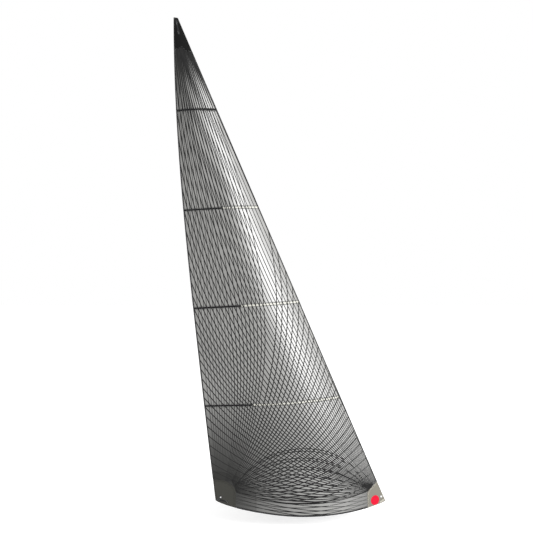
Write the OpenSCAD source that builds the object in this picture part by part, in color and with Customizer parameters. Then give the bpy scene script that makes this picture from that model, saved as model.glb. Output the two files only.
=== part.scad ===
// Battened membrane jib, set and drawing, wind from port: it bellies to starboard (-Y).
// +X is forward, +Y is to port and +Z is up. The origin is the centre of the tack ring.
// A place on the sail is (v, s): v climbs from the tack (0) to the head (1),
// and s runs aft from the luff (0) to the leech (1).

/* [Outline] */
// Height of the head above the tack corner
hoist = 12070; // [11000:10:13000]
// How far the head lies aft of the tack corner
rake = 5190; // [4800:10:5600]
// How far the luff sags aft at its middle
luff_sag = 10; // [0:1:40]
// Distance of the clew aft of the tack corner
clew_back = 4190; // [3900:10:4500]
// Height of the clew above the tack corner
clew_rise = 250; // [150:10:350]
// Width of the head
head_w = 91; // [88:1:110]
// How far the leech stands out aft of a straight line
roach = 100; // [40:5:160]
// How far the foot hangs below a straight line
foot_round = 310; // [200:10:400]
// Heights of the four seams at the luff, from the top one down
seam_z = [9770, 7340, 4980, 2600];

/* [Shape under way] */
// Angle of the foot to the centreline, in degrees
sheeting = 9; // [6:1:12]
// How much further the head twists open, in degrees
twist = 15; // [10:1:18]
// Depth of the sail over its chord at the foot and near the head
camber_ends = 0.085; // [0.07:0.005:0.1]
// Depth of the sail over its chord at half height
camber_mid = 0.125; // [0.11:0.005:0.13]

/* [Cloth and tapes] */
// Thickness of the laminate
cloth_t = 0.4; // [0.3:0.05:0.6]
// Width of a seam tape
seam_w = 84; // [76:2:90]
// Width of the luff tape
luff_tape_w = 22; // [18:1:23]
// Width of the leech tape and of the foot tape
edge_tape_w = 26; // [20:1:28]
// Diameter of the luff rope
luff_rope_d = 6; // [5:0.5:6]
// Diameter of the leech line and of the foot line
trim_line_d = 3; // [2:0.5:3]

/* [Battens] */
// Outer width of a pocket and of a draft stripe
pocket_w = 42; // [40:1:46]
// Width of the three lower battens, which are flat
batten_w = 28; // [20:1:29]
// Thickness of the three lower battens
batten_t = 3; // [2:0.5:3]
// Diameter of the top batten, which is a round rod
rod_d = 5; // [4:0.5:5]
// Where each pocket begins, as a share of the chord aft of the luff
pocket_from = [0, 0.48, 0.555, 0.655];

/* [Corner rings] */
// Bore of the head ring
head_bore = 24; // [20:1:26]
// Bore of the tack ring
tack_bore = 30; // [24:1:32]
// Bore of the clew ring
clew_bore = 36; // [30:1:40]

/* [Hidden] */
$fn = 48;

LEE = 1; // the starboard face, which bellies out
WINDWARD = -1; // the port face
seam_v = [for (z = seam_z) z / hoist];

// ---- The shape of the cloth ----
function unit(a) = a / norm(a);
function mix(a, b, t) = a + (b - a) * t;
function smooth(t) = let (u = min(1, max(0, t))) u * u * (3 - 2 * u);

// The luff is a straight line with a little sag.
function luff_at(v) = [-rake * v - 4 * luff_sag * v * (1 - v), 0, hoist * v];

// A seam falls this far from the luff to the leech.
seam_fall = 130;
function fall(v) = seam_fall * (1 - pow(2 * v - 1, 4)) - clew_rise * pow(1 - v, 8);
function leech_x(v) = mix(-clew_back, -rake - head_w, v) - 8 * roach * v * v * (1 - v);
function chord(v) = norm([leech_x(v) - luff_at(v)[0], fall(v)]);
function leech_y(v) = -chord(v) * tan(sheeting + twist * v);
function leech_at(v) = [leech_x(v), leech_y(v), hoist * v - fall(v)];

// Depth over chord: deepest at half height, nearly flat at the stiff head.
head_camber = 0.04;
flat_head_from = 0.83;
function camber(v) =
    let (
        u = min(1, max(0, v)),
        open = mix(camber_ends, camber_mid, 1 - pow(2 * u - 1, 2))
    )
    mix(open, head_camber, smooth((v - flat_head_from) / (1 - flat_head_from)));

// Below the top batten a section is a parabola, then straight to the leech from here aft.
function straight_from(v) = 0.65 - 0.3 * v;
function soft_section(v, s) =
    let (
        a = straight_from(v),
        entry = 2 * camber(v) / (a * pow(1 - a / 2, 2)),
        t = min(s, a)
    )
    chord(v) * (entry * (t - t * t / (2 * a)) - entry * a / 2 * s);

// At the top batten and above it, a section is an arc of a circle through luff and leech.
function arc_of(v) =
    let (
        c = chord(v),
        y = leech_y(v),
        len = norm([c, y]),
        depth = camber(v) * len,
        r = (len * len / 4 + depth * depth) / (2 * depth),
        back = (r - depth) / len
    )
    [r, c / 2 - y * back, y / 2 + c * back];
function arc_section(v, s) =
    let (arc = arc_of(v), x = chord(v) * s - arc[1])
    leech_y(v) * s - (arc[2] - sqrt(arc[0] * arc[0] - x * x));
arc_begins = 0.62;
arc_full = 0.79;
function depth_at(v, s) =
    let (w = smooth((v - arc_begins) / (arc_full - arc_begins)))
    (w < 1 ? (1 - w) * soft_section(v, s) : 0) + (w > 0 ? w * arc_section(v, s) : 0);

function cloth_at(v, s) = mix(luff_at(v), leech_at(v), s) - [0, depth_at(v, s), 0];

// The foot edge lies below v = 0.
function foot_v(s) =
    let (u = min(1, max(0, s)))
    -foot_round / hoist * pow(4 * u * (1 - u), 0.75) * (1 + 0.4 * (2 * u - 1));

// Unit directions at a point: aft along the chord, and square to the cloth to leeward.
step = 0.0005;
function aft_dir(v, s) = unit(cloth_at(v, s + step) - cloth_at(v, s - step));
function up_dir(v, s) = unit(cloth_at(v + step, s) - cloth_at(v - step, s));
function normal(v, s) = unit(cross(up_dir(v, s), aft_dir(v, s)));

// The tack ring's centre is the origin of the part.
tack_v = 118 / hoist;
tack_s = 58 / chord(tack_v);
origin = cloth_at(tack_v, tack_s);
function place(v, s, off) = cloth_at(v, s) - origin + off * normal(v, s);

// ---- The grid that every layer shares ----
luff_band = 25;
leech_band = 30;
foot_band = 30;
seam_band = seam_w / 2 / hoist;
pocket_band = pocket_w / 2 / hoist;
share = [
    0, 0.03, 0.06, 0.09, 0.12, 0.18, 0.24, 0.3, 0.36, 0.42, 0.48, 0.555, 0.6, 0.655,
    0.72, 0.8, 0.885, 0.94, 1
];
last_col = len(share) + 1;
function col_of(u) = search(u, share)[0] + 1;
function col_s(v, j) =
    j == 0 ? 0
    : j == last_col ? 1
    : mix(luff_band / chord(v), 1 - leech_band / chord(v), share[j - 1]);

// A row is [a, b] and lies at v = a * foot_v(s) + b.
function grid(row, j, off) =
    let (s = col_s(max(0, row[1]), j))
    place(row[0] * foot_v(s) + row[1], s, off);

function seam_below(v) = [[0, v - seam_band], [0, v - pocket_band], [0, v]];
function seam_above(v) = [[0, v], [0, v + pocket_band], [0, v + seam_band]];
function between(a, b, n) = [for (i = [1 : n - 1]) [0, mix(a, b, i / n)]];
function rows_between(a, b, n) =
    concat(seam_above(a), between(a + seam_band, b - seam_band, n), seam_below(b));
function foot_rows() =
    let (top = seam_v[3], first = foot_band / hoist, n = 5)
    concat(
        [[1, 0]],
        [for (i = [0 : n - 1]) [1 - i / n, mix(first, top - seam_band, i / n)]],
        seam_below(top)
    );
function head_rows() =
    let (from = seam_v[0])
    concat(seam_above(from), between(from + seam_band, 1, 8), [[0, 1]]);
panel_rows = [
    head_rows(),
    rows_between(seam_v[1], seam_v[0], 8),
    rows_between(seam_v[2], seam_v[1], 4),
    rows_between(seam_v[3], seam_v[2], 4),
    foot_rows()
];
HEAD = 0;
FOOT = 4;
edge_v = concat(
    [for (r = panel_rows[FOOT]) r[1]],
    [for (k = [3, 2, 1, 0]) for (i = [1 : len(panel_rows[k]) - 1]) panel_rows[k][i][1]]
);

// The faces of a closed skin whose points are two layers of n rows by m columns.
function skin_faces(n, m) =
    let (
        at = function (side, i, j) (side * n + i) * m + j,
        rows = [0 : n - 2],
        cols = [0 : m - 2]
    )
    concat(
        [for (i = rows) for (j = cols) [at(0, i, j), at(0, i + 1, j + 1), at(0, i, j + 1)]],
        [for (i = rows) for (j = cols) [at(0, i, j), at(0, i + 1, j), at(0, i + 1, j + 1)]],
        [for (i = rows) for (j = cols) [at(1, i, j), at(1, i, j + 1), at(1, i + 1, j + 1)]],
        [for (i = rows) for (j = cols) [at(1, i, j), at(1, i + 1, j + 1), at(1, i + 1, j)]],
        [for (j = cols) [at(0, 0, j), at(0, 0, j + 1), at(1, 0, j + 1), at(1, 0, j)]],
        [for (j = cols) [at(0, n - 1, j + 1), at(0, n - 1, j), at(1, n - 1, j), at(1, n - 1, j + 1)]],
        [for (i = rows) [at(0, i + 1, 0), at(0, i, 0), at(1, i, 0), at(1, i + 1, 0)]],
        [for (i = rows) [at(0, i, m - 1), at(0, i + 1, m - 1), at(1, i + 1, m - 1), at(1, i, m - 1)]]
    );

// One closed sheet on the grid, from column j0 to j1, between two offsets to leeward.
module sheet(rows, j0, j1, near, far) {
    points = [
        for (off = [near, far])
        for (row = rows)
        for (j = [j0 : j1])
        grid(row, j, off)
    ];
    polyhedron(points, skin_faces(len(rows), j1 - j0 + 1));
}

// The same sheet laid on one face of the sail or the other, between two heights.
module ply(rows, j0, j1, face, low, high) {
    if (face == LEE)
        sheet(rows, j0, j1, low, high);
    else
        sheet(rows, j0, j1, -high, -low);
}

// A frame on the sail: X along aft or forward, Y up, Z out of the chosen face.
module on_sail(v, s, face) {
    x = aft_dir(v, s) * -face;
    z = normal(v, s) * face;
    y = cross(z, x);
    p = place(v, s, 0);
    multmatrix([
        [x[0], y[0], z[0], p[0]],
        [x[1], y[1], z[1], p[1]],
        [x[2], y[2], z[2], p[2]],
        [0, 0, 0, 1]
    ])
        children();
}

// A prism across the sail whose outline is given from a corner of the sail.
module across(corner, outline) {
    reach = 1500;
    p = corner - origin;
    translate([p[0], reach, p[2]])
        rotate([90, 0, 0])
            linear_extrude(2 * reach)
                polygon(outline);
}

// ---- Panels ----
film_grey = [0.62, 0.62, 0.6];
module panel(k) {
    color(film_grey)
        sheet(panel_rows[k], 0, last_col, -cloth_t / 2, cloth_t / 2);
}
module head_panel() {
    difference() {
        panel(HEAD);
        ring_hole(HEAD_RING);
    }
}
module upper_panel() {
    panel(1);
}
module middle_panel() {
    panel(2);
}
module lower_panel() {
    panel(3);
}
module foot_panel() {
    difference() {
        panel(FOOT);
        ring_hole(TACK_RING);
        ring_hole(CLEW_RING);
    }
}

// ---- Seam tapes and draft stripes ----
tape_low = 0.45;
tape_high = 0.95;
stripe_low = 1.1;
stripe_high = 1.4;
module seam_tape(k) {
    v = seam_v[k];
    rows = concat(seam_below(v), [for (i = [1, 2]) seam_above(v)[i]]);
    color([0.5, 0.5, 0.48])
        ply(rows, 1, last_col - 1, LEE, tape_low, tape_high);
}
function strip_rows(v) = [[0, v - pocket_band], [0, v], [0, v + pocket_band]];
module draft_stripe(k) {
    color([0.88, 0.85, 0.74])
        ply(strip_rows(seam_v[k]), 1, col_of(pocket_from[k]), LEE, stripe_low, stripe_high);
}
module seam_tape_1() {
    seam_tape(0);
}
module seam_tape_2() {
    seam_tape(1);
}
module seam_tape_3() {
    seam_tape(2);
}
module seam_tape_4() {
    seam_tape(3);
}
module draft_stripe_2() {
    draft_stripe(1);
}
module draft_stripe_3() {
    draft_stripe(2);
}
module draft_stripe_4() {
    draft_stripe(3);
}

// ---- Batten pockets: sleeves on the leeward face, open at the leech ----
pocket_low = 1.9;
pocket_h = 11;
pocket_wall = 1.2;
pocket_hem = 2.5;
batten_off = pocket_low + pocket_h / 2;
module batten_pocket(k) {
    v = seam_v[k];
    j0 = col_of(pocket_from[k]);
    hem = pocket_hem / hoist;
    inner = [[0, v - pocket_band + hem], [0, v], [0, v + pocket_band - hem]];
    color([0.08, 0.08, 0.08])
        difference() {
            ply(strip_rows(v), j0, last_col, LEE, pocket_low, pocket_low + pocket_h);
            hollow(inner, j0, pocket_low + pocket_wall, pocket_low + pocket_h - pocket_wall);
        }
}
// The space in a sleeve: it starts a little aft of the closed end and runs out past the leech.
module hollow(rows, j0, low, high) {
    cap = 6;
    past = 20;
    cols = [
        for (j = [j0 : last_col])
        let (c = chord(rows[1][1]), s = col_s(rows[1][1], j))
        j == j0 ? s + cap / c : j == last_col ? 1 + past / c : s
    ];
    points = [for (off = [low, high]) for (row = rows) for (s = cols) place(row[1], s, off)];
    polyhedron(points, skin_faces(len(rows), len(cols)));
}
module batten_pocket_1() {
    batten_pocket(0);
}
module batten_pocket_2() {
    batten_pocket(1);
}
module batten_pocket_3() {
    batten_pocket(2);
}
module batten_pocket_4() {
    batten_pocket(3);
}

// ---- Battens: three straight strips, and a bent rod at the top ----
end_gap = 14;
cap_len = 22;
cap_w = batten_w + 4;
cap_t = 5;
cap_grip = 14;
// Straight pockets: X runs aft out of the mouth, Z to leeward.
module along_pocket(k) {
    v = seam_v[k];
    c = chord(v);
    a = place(v, pocket_from[k] + end_gap / c, batten_off);
    b = place(v, 1 - end_gap / c, batten_off);
    x = unit(b - a);
    n = normal(v, mix(pocket_from[k], 1, 0.5));
    y = unit(cross(n, x));
    z = cross(x, y);
    multmatrix([
        [x[0], y[0], z[0], a[0]],
        [x[1], y[1], z[1], a[1]],
        [x[2], y[2], z[2], a[2]],
        [0, 0, 0, 1]
    ])
        children();
}
function batten_len(k) =
    let (v = seam_v[k], c = chord(v))
    norm(place(v, 1 - end_gap / c, batten_off) - place(v, pocket_from[k] + end_gap / c, batten_off));
module bar(from, to, w, t) {
    translate([from, -w / 2, -t / 2])
        cube([to - from, w, t]);
}
module straight_batten(k) {
    color([0.78, 0.76, 0.62])
        along_pocket(k)
            bar(cap_len - cap_grip, batten_len(k) - cap_len + cap_grip, batten_w, batten_t);
}
module straight_caps(k) {
    len = batten_len(k);
    play = 0.1;
    color([0.1, 0.1, 0.1])
        along_pocket(k) {
            difference() {
                bar(0, cap_len, cap_w, cap_t);
                bar(cap_len - cap_grip - play, cap_len + 1, batten_w + play, batten_t + play);
            }
            difference() {
                bar(len - cap_len, len, cap_w, cap_t);
                bar(len - cap_len - 1, len - cap_len + cap_grip + play, batten_w + play, batten_t + play);
            }
        }
}
// The top pocket is an arc: Z is the arc's axis, and angles run aft from the luff end.
function top_arc() = arc_of(seam_v[0]);
function top_dir() =
    let (a = luff_at(seam_v[0]), b = leech_at(seam_v[0]))
    unit([b[0] - a[0], 0, b[2] - a[2]]);
function top_centre() =
    luff_at(seam_v[0]) - origin + top_arc()[1] * top_dir() + [0, top_arc()[2], 0];
function top_angle(s) =
    let (x = chord(seam_v[0]) * s - top_arc()[1])
    asin(x / top_arc()[0]);
module around_top_arc() {
    x = [0, -1, 0];
    y = top_dir();
    z = cross(x, y);
    p = top_centre();
    multmatrix([
        [x[0], y[0], z[0], p[0]],
        [x[1], y[1], z[1], p[1]],
        [x[2], y[2], z[2], p[2]],
        [0, 0, 0, 1]
    ])
        children();
}
module bent_rod(from, to, d) {
    rotate([0, 0, from])
        rotate_extrude(angle = to - from, $fn = 360)
            translate([top_arc()[0] + batten_off, 0])
                circle(d = d, $fn = 24);
}
function top_span() =
    let (gap = end_gap / chord(seam_v[0]))
    [top_angle(luff_band / chord(seam_v[0]) + gap), top_angle(1 - gap)];
function arc_deg(len) = len / (top_arc()[0] + batten_off) * 180 / PI;
module batten_1() {
    inset = arc_deg(cap_len - cap_grip);
    color([0.78, 0.76, 0.62])
        around_top_arc()
            bent_rod(top_span()[0] + inset, top_span()[1] - inset, rod_d);
}
module batten_2() {
    straight_batten(1);
}
module batten_3() {
    straight_batten(2);
}
module batten_4() {
    straight_batten(3);
}
module batten_caps_1() {
    play = 0.1;
    cap_d = rod_d + 1.6;
    cap = arc_deg(cap_len);
    inset = arc_deg(cap_len - cap_grip - play);
    past = arc_deg(1);
    a = top_span()[0];
    b = top_span()[1];
    color([0.1, 0.1, 0.1])
        around_top_arc() {
            difference() {
                bent_rod(a, a + cap, cap_d);
                bent_rod(a + inset, a + cap + past, rod_d + play);
            }
            difference() {
                bent_rod(b - cap, b, cap_d);
                bent_rod(b - cap - past, b - inset, rod_d + play);
            }
        }
}
module batten_caps_2() {
    straight_caps(1);
}
module batten_caps_3() {
    straight_caps(2);
}
module batten_caps_4() {
    straight_caps(3);
}

// ---- Edges: a tape folded round a cord ----
// A frame at an edge is [point, inward, leeward, along].
function luff_frame(v) =
    let (
        n = normal(v, luff_band / 2 / chord(v)),
        t = unit(luff_at(v + step) - luff_at(v - step)),
        u = unit(cross(t, n)),
        w = cross(u, t)
    )
    [luff_at(v) - origin, u[0] < 0 ? u : -u, w[1] < 0 ? w : -w, t];
function leech_frame(v) =
    let (
        n = normal(v, 1 - leech_band / 2 / chord(v)),
        t = unit(leech_at(v + step) - leech_at(v - step)),
        u = unit(cross(t, n)),
        w = cross(u, t)
    )
    [leech_at(v) - origin, u[0] > 0 ? u : -u, w[1] < 0 ? w : -w, t];
function foot_at(s) = cloth_at(foot_v(s), s);
function foot_frame(s) =
    let (
        n = normal(foot_v(s) + foot_band / 2 / hoist, s),
        t = unit(foot_at(s + step) - foot_at(s - step)),
        u = unit(cross(t, n)),
        w = cross(u, t)
    )
    [foot_at(s) - origin, u[2] > 0 ? u : -u, w[1] < 0 ? w : -w, t];
function at_edge(f, a, b) = f[0] + a * f[1] + b * f[2];

fold_in = 1;
fold_out = 1.5;
edge_gap = 0.4;
arc_steps = 9;
// One side of the folded tape, from its inner edge round the cord and back, at one skin.
function fold(width, r, skin) =
    let (
        bore = r + 0.6,
        thick = skin - fold_in,
        rr = bore + thick,
        centre = -edge_gap - bore,
        from = asin(skin / rr)
    )
    concat(
        [[width, skin]],
        [
            for (i = [0 : arc_steps])
            let (a = mix(from, 360 - from, i / arc_steps))
            [centre + rr * cos(a), rr * sin(a)]
        ],
        [[width, -skin]]
    );
// Joins two skins of a tape along a row of frames.
module taped(frames, inner, outer) {
    points = [
        for (skin = [inner, outer])
        for (f = frames)
        for (p = skin)
        at_edge(f, p[0], p[1])
    ];
    polyhedron(points, skin_faces(len(frames), len(inner)));
}
// A round cord through the given points, with its rings square to its own path.
sides = 8;
module cord(path, d) {
    n = len(path);
    along = [
        for (i = [0 : n - 1])
        unit(path[min(n - 1, i + 1)] - path[max(0, i - 1)])
    ];
    points = [
        for (i = [0 : n - 1])
        let (u = unit(cross(along[i], [0.1, 1, 0.05])), w = cross(along[i], u))
        for (k = [0 : sides - 1])
        path[i] + d / 2 * (cos(360 * k / sides) * u + sin(360 * k / sides) * w)
    ];
    faces = concat(
        [
            for (i = [0 : n - 2])
            for (k = [0 : sides - 1])
            let (q = (k + 1) % sides)
            [i * sides + k, (i + 1) * sides + k, (i + 1) * sides + q]
        ],
        [
            for (i = [0 : n - 2])
            for (k = [0 : sides - 1])
            let (q = (k + 1) % sides)
            [i * sides + k, (i + 1) * sides + q, i * sides + q]
        ],
        [[for (k = [0 : sides - 1]) k]],
        [[for (k = [sides - 1 : -1 : 0]) (n - 1) * sides + k]]
    );
    polyhedron(points, faces);
}
function tunnel_centre(d) = -edge_gap - d / 2 - 0.6;

tape_black = [0.06, 0.06, 0.06];
module luff_tape() {
    r = luff_rope_d / 2;
    color(tape_black)
        taped([for (i = [len(edge_v) - 1 : -1 : 0]) luff_frame(edge_v[i])],
            fold(luff_tape_w, r, fold_in), fold(luff_tape_w, r, fold_out));
}
module luff_rope() {
    color([0.85, 0.85, 0.82])
        cord([for (v = edge_v) at_edge(luff_frame(v), tunnel_centre(luff_rope_d), 0)], luff_rope_d);
}

// The leech line runs in its tape down to here, then round the edge to the cleat.
leech_exit = 0.056;
tunnel_v = concat([leech_exit], [for (v = edge_v) if (v > leech_exit + 0.004) v]);
plain_v = concat([for (v = edge_v) if (v < leech_exit - 0.006) v], [leech_exit - 0.003]);
// A tape folded flat round the bare edge, where no cord runs.
function flat_fold(width, skin) =
    [[width, skin], [-edge_gap - skin + fold_in, skin], [-edge_gap - skin + fold_in, -skin], [width, -skin]];
module leech_tape() {
    r = trim_line_d / 2;
    color(tape_black) {
        taped([for (v = tunnel_v) leech_frame(v)],
            fold(edge_tape_w, r, fold_in), fold(edge_tape_w, r, fold_out));
        taped([for (v = plain_v) leech_frame(v)],
            flat_fold(edge_tape_w, fold_in), flat_fold(edge_tape_w, fold_out));
    }
}
// From the mouth of the tunnel to the cleat: [distance on, inward from the edge, to windward].
cleat_run = [
    [12, -3.2, 0.4], [24, -4.5, 3.5], [40, -3, 8], [65, 8, 11], [95, 24, 11.4],
    [125, 38, 11.4], [150, 44, 11.4], [175, 45, 11.4], [255, 45, 11.4], [285, 45, 11.4]
];
cleat_at = 215;
cleat_in = 45;
module leech_line() {
    color([0.75, 0.75, 0.72])
        cord(
            concat(
                [for (i = [len(tunnel_v) - 1 : -1 : 0])
                    at_edge(leech_frame(tunnel_v[i]), tunnel_centre(trim_line_d), 0)],
                [for (p = cleat_run) at_edge(leech_frame(leech_exit - p[0] / hoist), p[1], -p[2])]
            ),
            trim_line_d
        );
}

// The foot tape and its line lie between the tack patch and the clew patch.
foot_col = [col_of(0.12), col_of(0.885)];
foot_s = [for (j = [foot_col[0] : foot_col[1]]) col_s(0, j)];
module foot_tape() {
    r = trim_line_d / 2;
    color(tape_black)
        taped([for (s = foot_s) foot_frame(s)],
            fold(edge_tape_w, r, fold_in), fold(edge_tape_w, r, fold_out));
}
module foot_line() {
    n = len(foot_s);
    color([0.75, 0.75, 0.72])
        cord(
            concat(
                [for (i = [n - 1 : -1 : 0]) at_edge(foot_frame(foot_s[i]), tunnel_centre(trim_line_d), 0)],
                [for (p = cleat_run) at_edge(foot_frame(foot_s[0] - p[0] / chord(0)), p[1], -p[2])]
            ),
            trim_line_d
        );
}

// ---- Trim line cleats, on the windward face under covers ----
cleat_len = 52;
cleat_w = 18;
cleat_low = 4.6;
cleat_base = 3;
cleat_top = 18;
groove_r = 2;
rivet_r = 2;
// X runs along the line towards its tail, Z out of the windward face.
module at_cleat(f) {
    x = -f[3];
    z = -f[2];
    y = cross(z, x);
    p = at_edge(f, cleat_in, 0);
    multmatrix([
        [x[0], y[0], z[0], p[0]],
        [x[1], y[1], z[1], p[1]],
        [x[2], y[2], z[2], p[2]],
        [0, 0, 0, 1]
    ])
        children();
}
function leech_cleat_frame() = leech_frame(leech_exit - cleat_at / hoist);
function foot_cleat_frame() = foot_frame(foot_s[0] - cleat_at / chord(0));
module cleat() {
    line_z = 11.4;
    half = cleat_w / 2;
    difference() {
        translate([-cleat_len / 2, 0, 0])
            rotate([90, 0, 90])
                linear_extrude(cleat_len)
                    polygon([
                        [-half, cleat_low], [half, cleat_low],
                        [half, cleat_top], [5, cleat_top],
                        [groove_r, line_z - groove_r], [-groove_r, line_z - groove_r],
                        [-5, cleat_top], [-half, cleat_top]
                    ]);
        for (end = [-1, 1])
            translate([end * (cleat_len / 2 + 1), 0, cleat_low + cleat_base])
                translate([-9, -cleat_w, 0])
                    cube([18, 2 * cleat_w, cleat_top]);
        for (end = [-1, 1])
            translate([end * (cleat_len / 2 - 4), 0, 0])
                cylinder(h = 30, r = rivet_r);
    }
}
module leech_cleat() {
    color([0.05, 0.05, 0.05])
        at_cleat(leech_cleat_frame())
            cleat();
}
module foot_cleat() {
    color([0.05, 0.05, 0.05])
        at_cleat(foot_cleat_frame())
            cleat();
}
// Two rivets hold each cleat down; the line passes between the base and the heads.
module rivets() {
    head_h = 0.8;
    for (end = [-1, 1])
        translate([end * (cleat_len / 2 - 4), 0, 0]) {
            translate([0, 0, cleat_low + 0.1])
                cylinder(h = cleat_base, r = rivet_r - 0.1);
            translate([0, 0, cleat_low + cleat_base + 0.05])
                cylinder(h = head_h, r = 3.2);
        }
}
module cleat_rivets() {
    color([0.7, 0.7, 0.72]) {
        at_cleat(leech_cleat_frame())
            rivets();
        at_cleat(foot_cleat_frame())
            rivets();
    }
}
// A cover is a stiff flap over the cleat, hinged at its inboard edge.
cover_w = 84;
cover_len = 110;
cover_h = 24;
cover_t = 1.4;
hinge_y = -50;
module cover() {
    y0 = hinge_y;
    y1 = hinge_y + cover_w;
    grip_z = strip_low + 2.2;
    translate([-cover_len / 2, 0, 0])
        rotate([90, 0, 90])
            linear_extrude(cover_len)
                polygon([
                    [y0, 5.5], [y0 + 16, cover_h], [y1 - 26, cover_h], [y1 - 12, grip_z], [y1, grip_z],
                    [y1, grip_z + cover_t], [y1 - 11, grip_z + cover_t], [y1 - 25, cover_h + cover_t],
                    [y0 + 15, cover_h + cover_t], [y0, 5.5 + 2 * cover_t]
                ]);
}
module leech_cleat_cover() {
    color([0.12, 0.12, 0.12])
        at_cleat(leech_cleat_frame())
            cover();
}
module foot_cleat_cover() {
    color([0.12, 0.12, 0.12])
        at_cleat(foot_cleat_frame())
            cover();
}
// Hook strips on the sail, where the free edge of each cover grips.
strip_low = 5.4;
module fastener() {
    translate([-cover_len / 2, hinge_y + cover_w - 11, strip_low])
        cube([cover_len, 11, 2]);
}
module cover_fasteners() {
    color([0.2, 0.2, 0.2]) {
        at_cleat(leech_cleat_frame())
            fastener();
        at_cleat(foot_cleat_frame())
            fastener();
    }
}

// ---- Corner patches ----
ply_low = 2;
ply_high = 2.6;
patch_low = 3;
patch_high = 4;
webbing_low = 4.4;
webbing_high = 6.4;
tack_corner = cloth_at(0, 0);
clew_corner = cloth_at(0, 1);
head_corner = cloth_at(1, 0);
faces_both = [LEE, WINDWARD];
function foot_part(n) = [for (i = [0 : n]) panel_rows[FOOT][i]];
tack_cols = [0, col_of(0.18)];
clew_cols = [col_of(0.72), last_col];

module head_patch() {
    drop = 800;
    rows = panel_rows[HEAD];
    n = len(rows);
    color(tape_black)
        difference() {
            for (face = faces_both)
                intersection() {
                    ply([for (i = [n - 5 : n - 1]) rows[i]], 0, last_col, face, patch_low, patch_high);
                    across(head_corner, [
                        [-head_w - 60, 60], [120, 60], [520, -drop - 60],
                        [220, -drop - 60], [120, -drop + 40], [-40, -drop - 60]
                    ]);
                }
            ring_hole(HEAD_RING);
        }
}
tack_outline = [
    [60, -320], [-478, -320], [-478, 265], [-437, 320], [-200, 492], [60, 492]
];
module tack_patch() {
    color([0.66, 0.64, 0.59])
        difference() {
            for (face = faces_both)
                intersection() {
                    ply(foot_part(3), tack_cols[0], tack_cols[1], face, patch_low, patch_high);
                    across(tack_corner, tack_outline);
                }
            ring_hole(TACK_RING);
        }
}
clew_outline = [
    [-90, 495], [150, 490], [260, 455], [389, 368], [460, 290], [487, 200], [487, -420], [-90, -420]
];
module clew_patch() {
    color([0.28, 0.28, 0.26])
        difference() {
            for (face = faces_both)
                intersection() {
                    ply(foot_part(3), clew_cols[0], clew_cols[1], face, patch_low, patch_high);
                    across(clew_corner, clew_outline);
                }
            ring_hole(CLEW_RING);
        }
}
reinforcement_outline = [
    [-90, 700], [180, 690], [520, 560], [820, 380], [960, 220], [985, 60], [985, -420], [-90, -420]
];
module clew_reinforcement() {
    color([0.33, 0.33, 0.31])
        difference() {
            for (face = faces_both)
                intersection() {
                    ply(foot_part(4), col_of(0.655), last_col, face, ply_low, ply_high);
                    across(clew_corner, reinforcement_outline);
                }
            ring_hole(CLEW_RING);
        }
}

// Webbing along the foot at the tack and the clew, and down the sail at the head.
module tack_webbing() {
    color([0.55, 0.53, 0.5])
        for (face = faces_both)
            intersection() {
                ply(foot_part(2), 0, col_of(0.09), face, webbing_low, webbing_high);
                across(tack_corner, [[-22, 24], [-143, -24], [-155, 10], [-34, 58]]);
            }
}
module clew_webbing() {
    color([0.12, 0.12, 0.11])
        for (face = faces_both)
            intersection() {
                ply(foot_part(2), col_of(0.8), last_col, face, webbing_low, webbing_high);
                across(clew_corner, [[20, 12], [300, -58], [309, -24], [29, 46]]);
            }
}
module head_webbing() {
    rows = panel_rows[HEAD];
    n = len(rows);
    color([0.1, 0.1, 0.1])
        for (face = faces_both)
            intersection() {
                ply([for (i = [n - 3 : n - 1]) rows[i]], 0, last_col, face, webbing_low, webbing_high);
                across(head_corner, [[-44, -110], [-6, -110], [60, -430], [22, -430]]);
            }
}
// A plain round badge on the tack patch.
module tack_emblem() {
    badge_r = 112;
    color([0.78, 0.04, 0.1])
        intersection() {
            ply(foot_part(3), 0, tack_cols[1], LEE, patch_high + 0.2, patch_high + 0.6);
            translate([tack_corner[0] - origin[0] - 278, 1500, tack_corner[2] - origin[2] + 66])
                rotate([90, 0, 0])
                    cylinder(h = 3000, r = badge_r);
        }
}

// ---- Corner rings: a flanged ring pressed through the corner, held by a turned liner ----
HEAD_RING = [1 - 78 / hoist, 0.5, head_bore / 2];
TACK_RING = [tack_v, tack_s, tack_bore / 2];
clew_ring_v = 104 / hoist;
CLEW_RING = [clew_ring_v, 1 - 130 / chord(clew_ring_v), clew_bore / 2];
flange_in = 4.8;
flange_out = 7.4;
liner_t = 1.6;
barrel_t = 2;
flange_w = 8.5;
lip_w = 3.6;
lip_out = 8.8;
module ring_hole(ring) {
    on_sail(ring[0], ring[1], LEE)
        cylinder(h = 60, r = ring[2] + liner_t + barrel_t + 0.4, center = true);
}
module ring(ring) {
    r = ring[2] + liner_t + 0.05;
    barrel = r + barrel_t;
    rim = barrel + flange_w;
    chamfer = 1;
    on_sail(ring[0], ring[1], LEE)
        rotate_extrude()
            polygon([
                [r, -flange_out], [rim - chamfer, -flange_out], [rim, -flange_out + chamfer],
                [rim, -flange_in], [barrel, -flange_in],
                [barrel, flange_in], [rim, flange_in],
                [rim, flange_out - chamfer], [rim - chamfer, flange_out], [r, flange_out]
            ]);
}
module ring_liner(ring) {
    bore = ring[2];
    r = bore + liner_t;
    lip_in = flange_out + 0.05;
    on_sail(ring[0], ring[1], LEE)
        rotate_extrude()
            polygon([
                [bore, -lip_out], [r + lip_w - 1, -lip_out], [r + lip_w, -lip_out + 1],
                [r + lip_w, -lip_in], [r, -lip_in],
                [r, lip_in], [r + lip_w, lip_in],
                [r + lip_w, lip_out - 1], [r + lip_w - 1, lip_out], [bore, lip_out]
            ]);
}
ring_grey = [0.6, 0.6, 0.6];
liner_grey = [0.75, 0.75, 0.76];
module head_ring() {
    color(ring_grey)
        ring(HEAD_RING);
}
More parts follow.
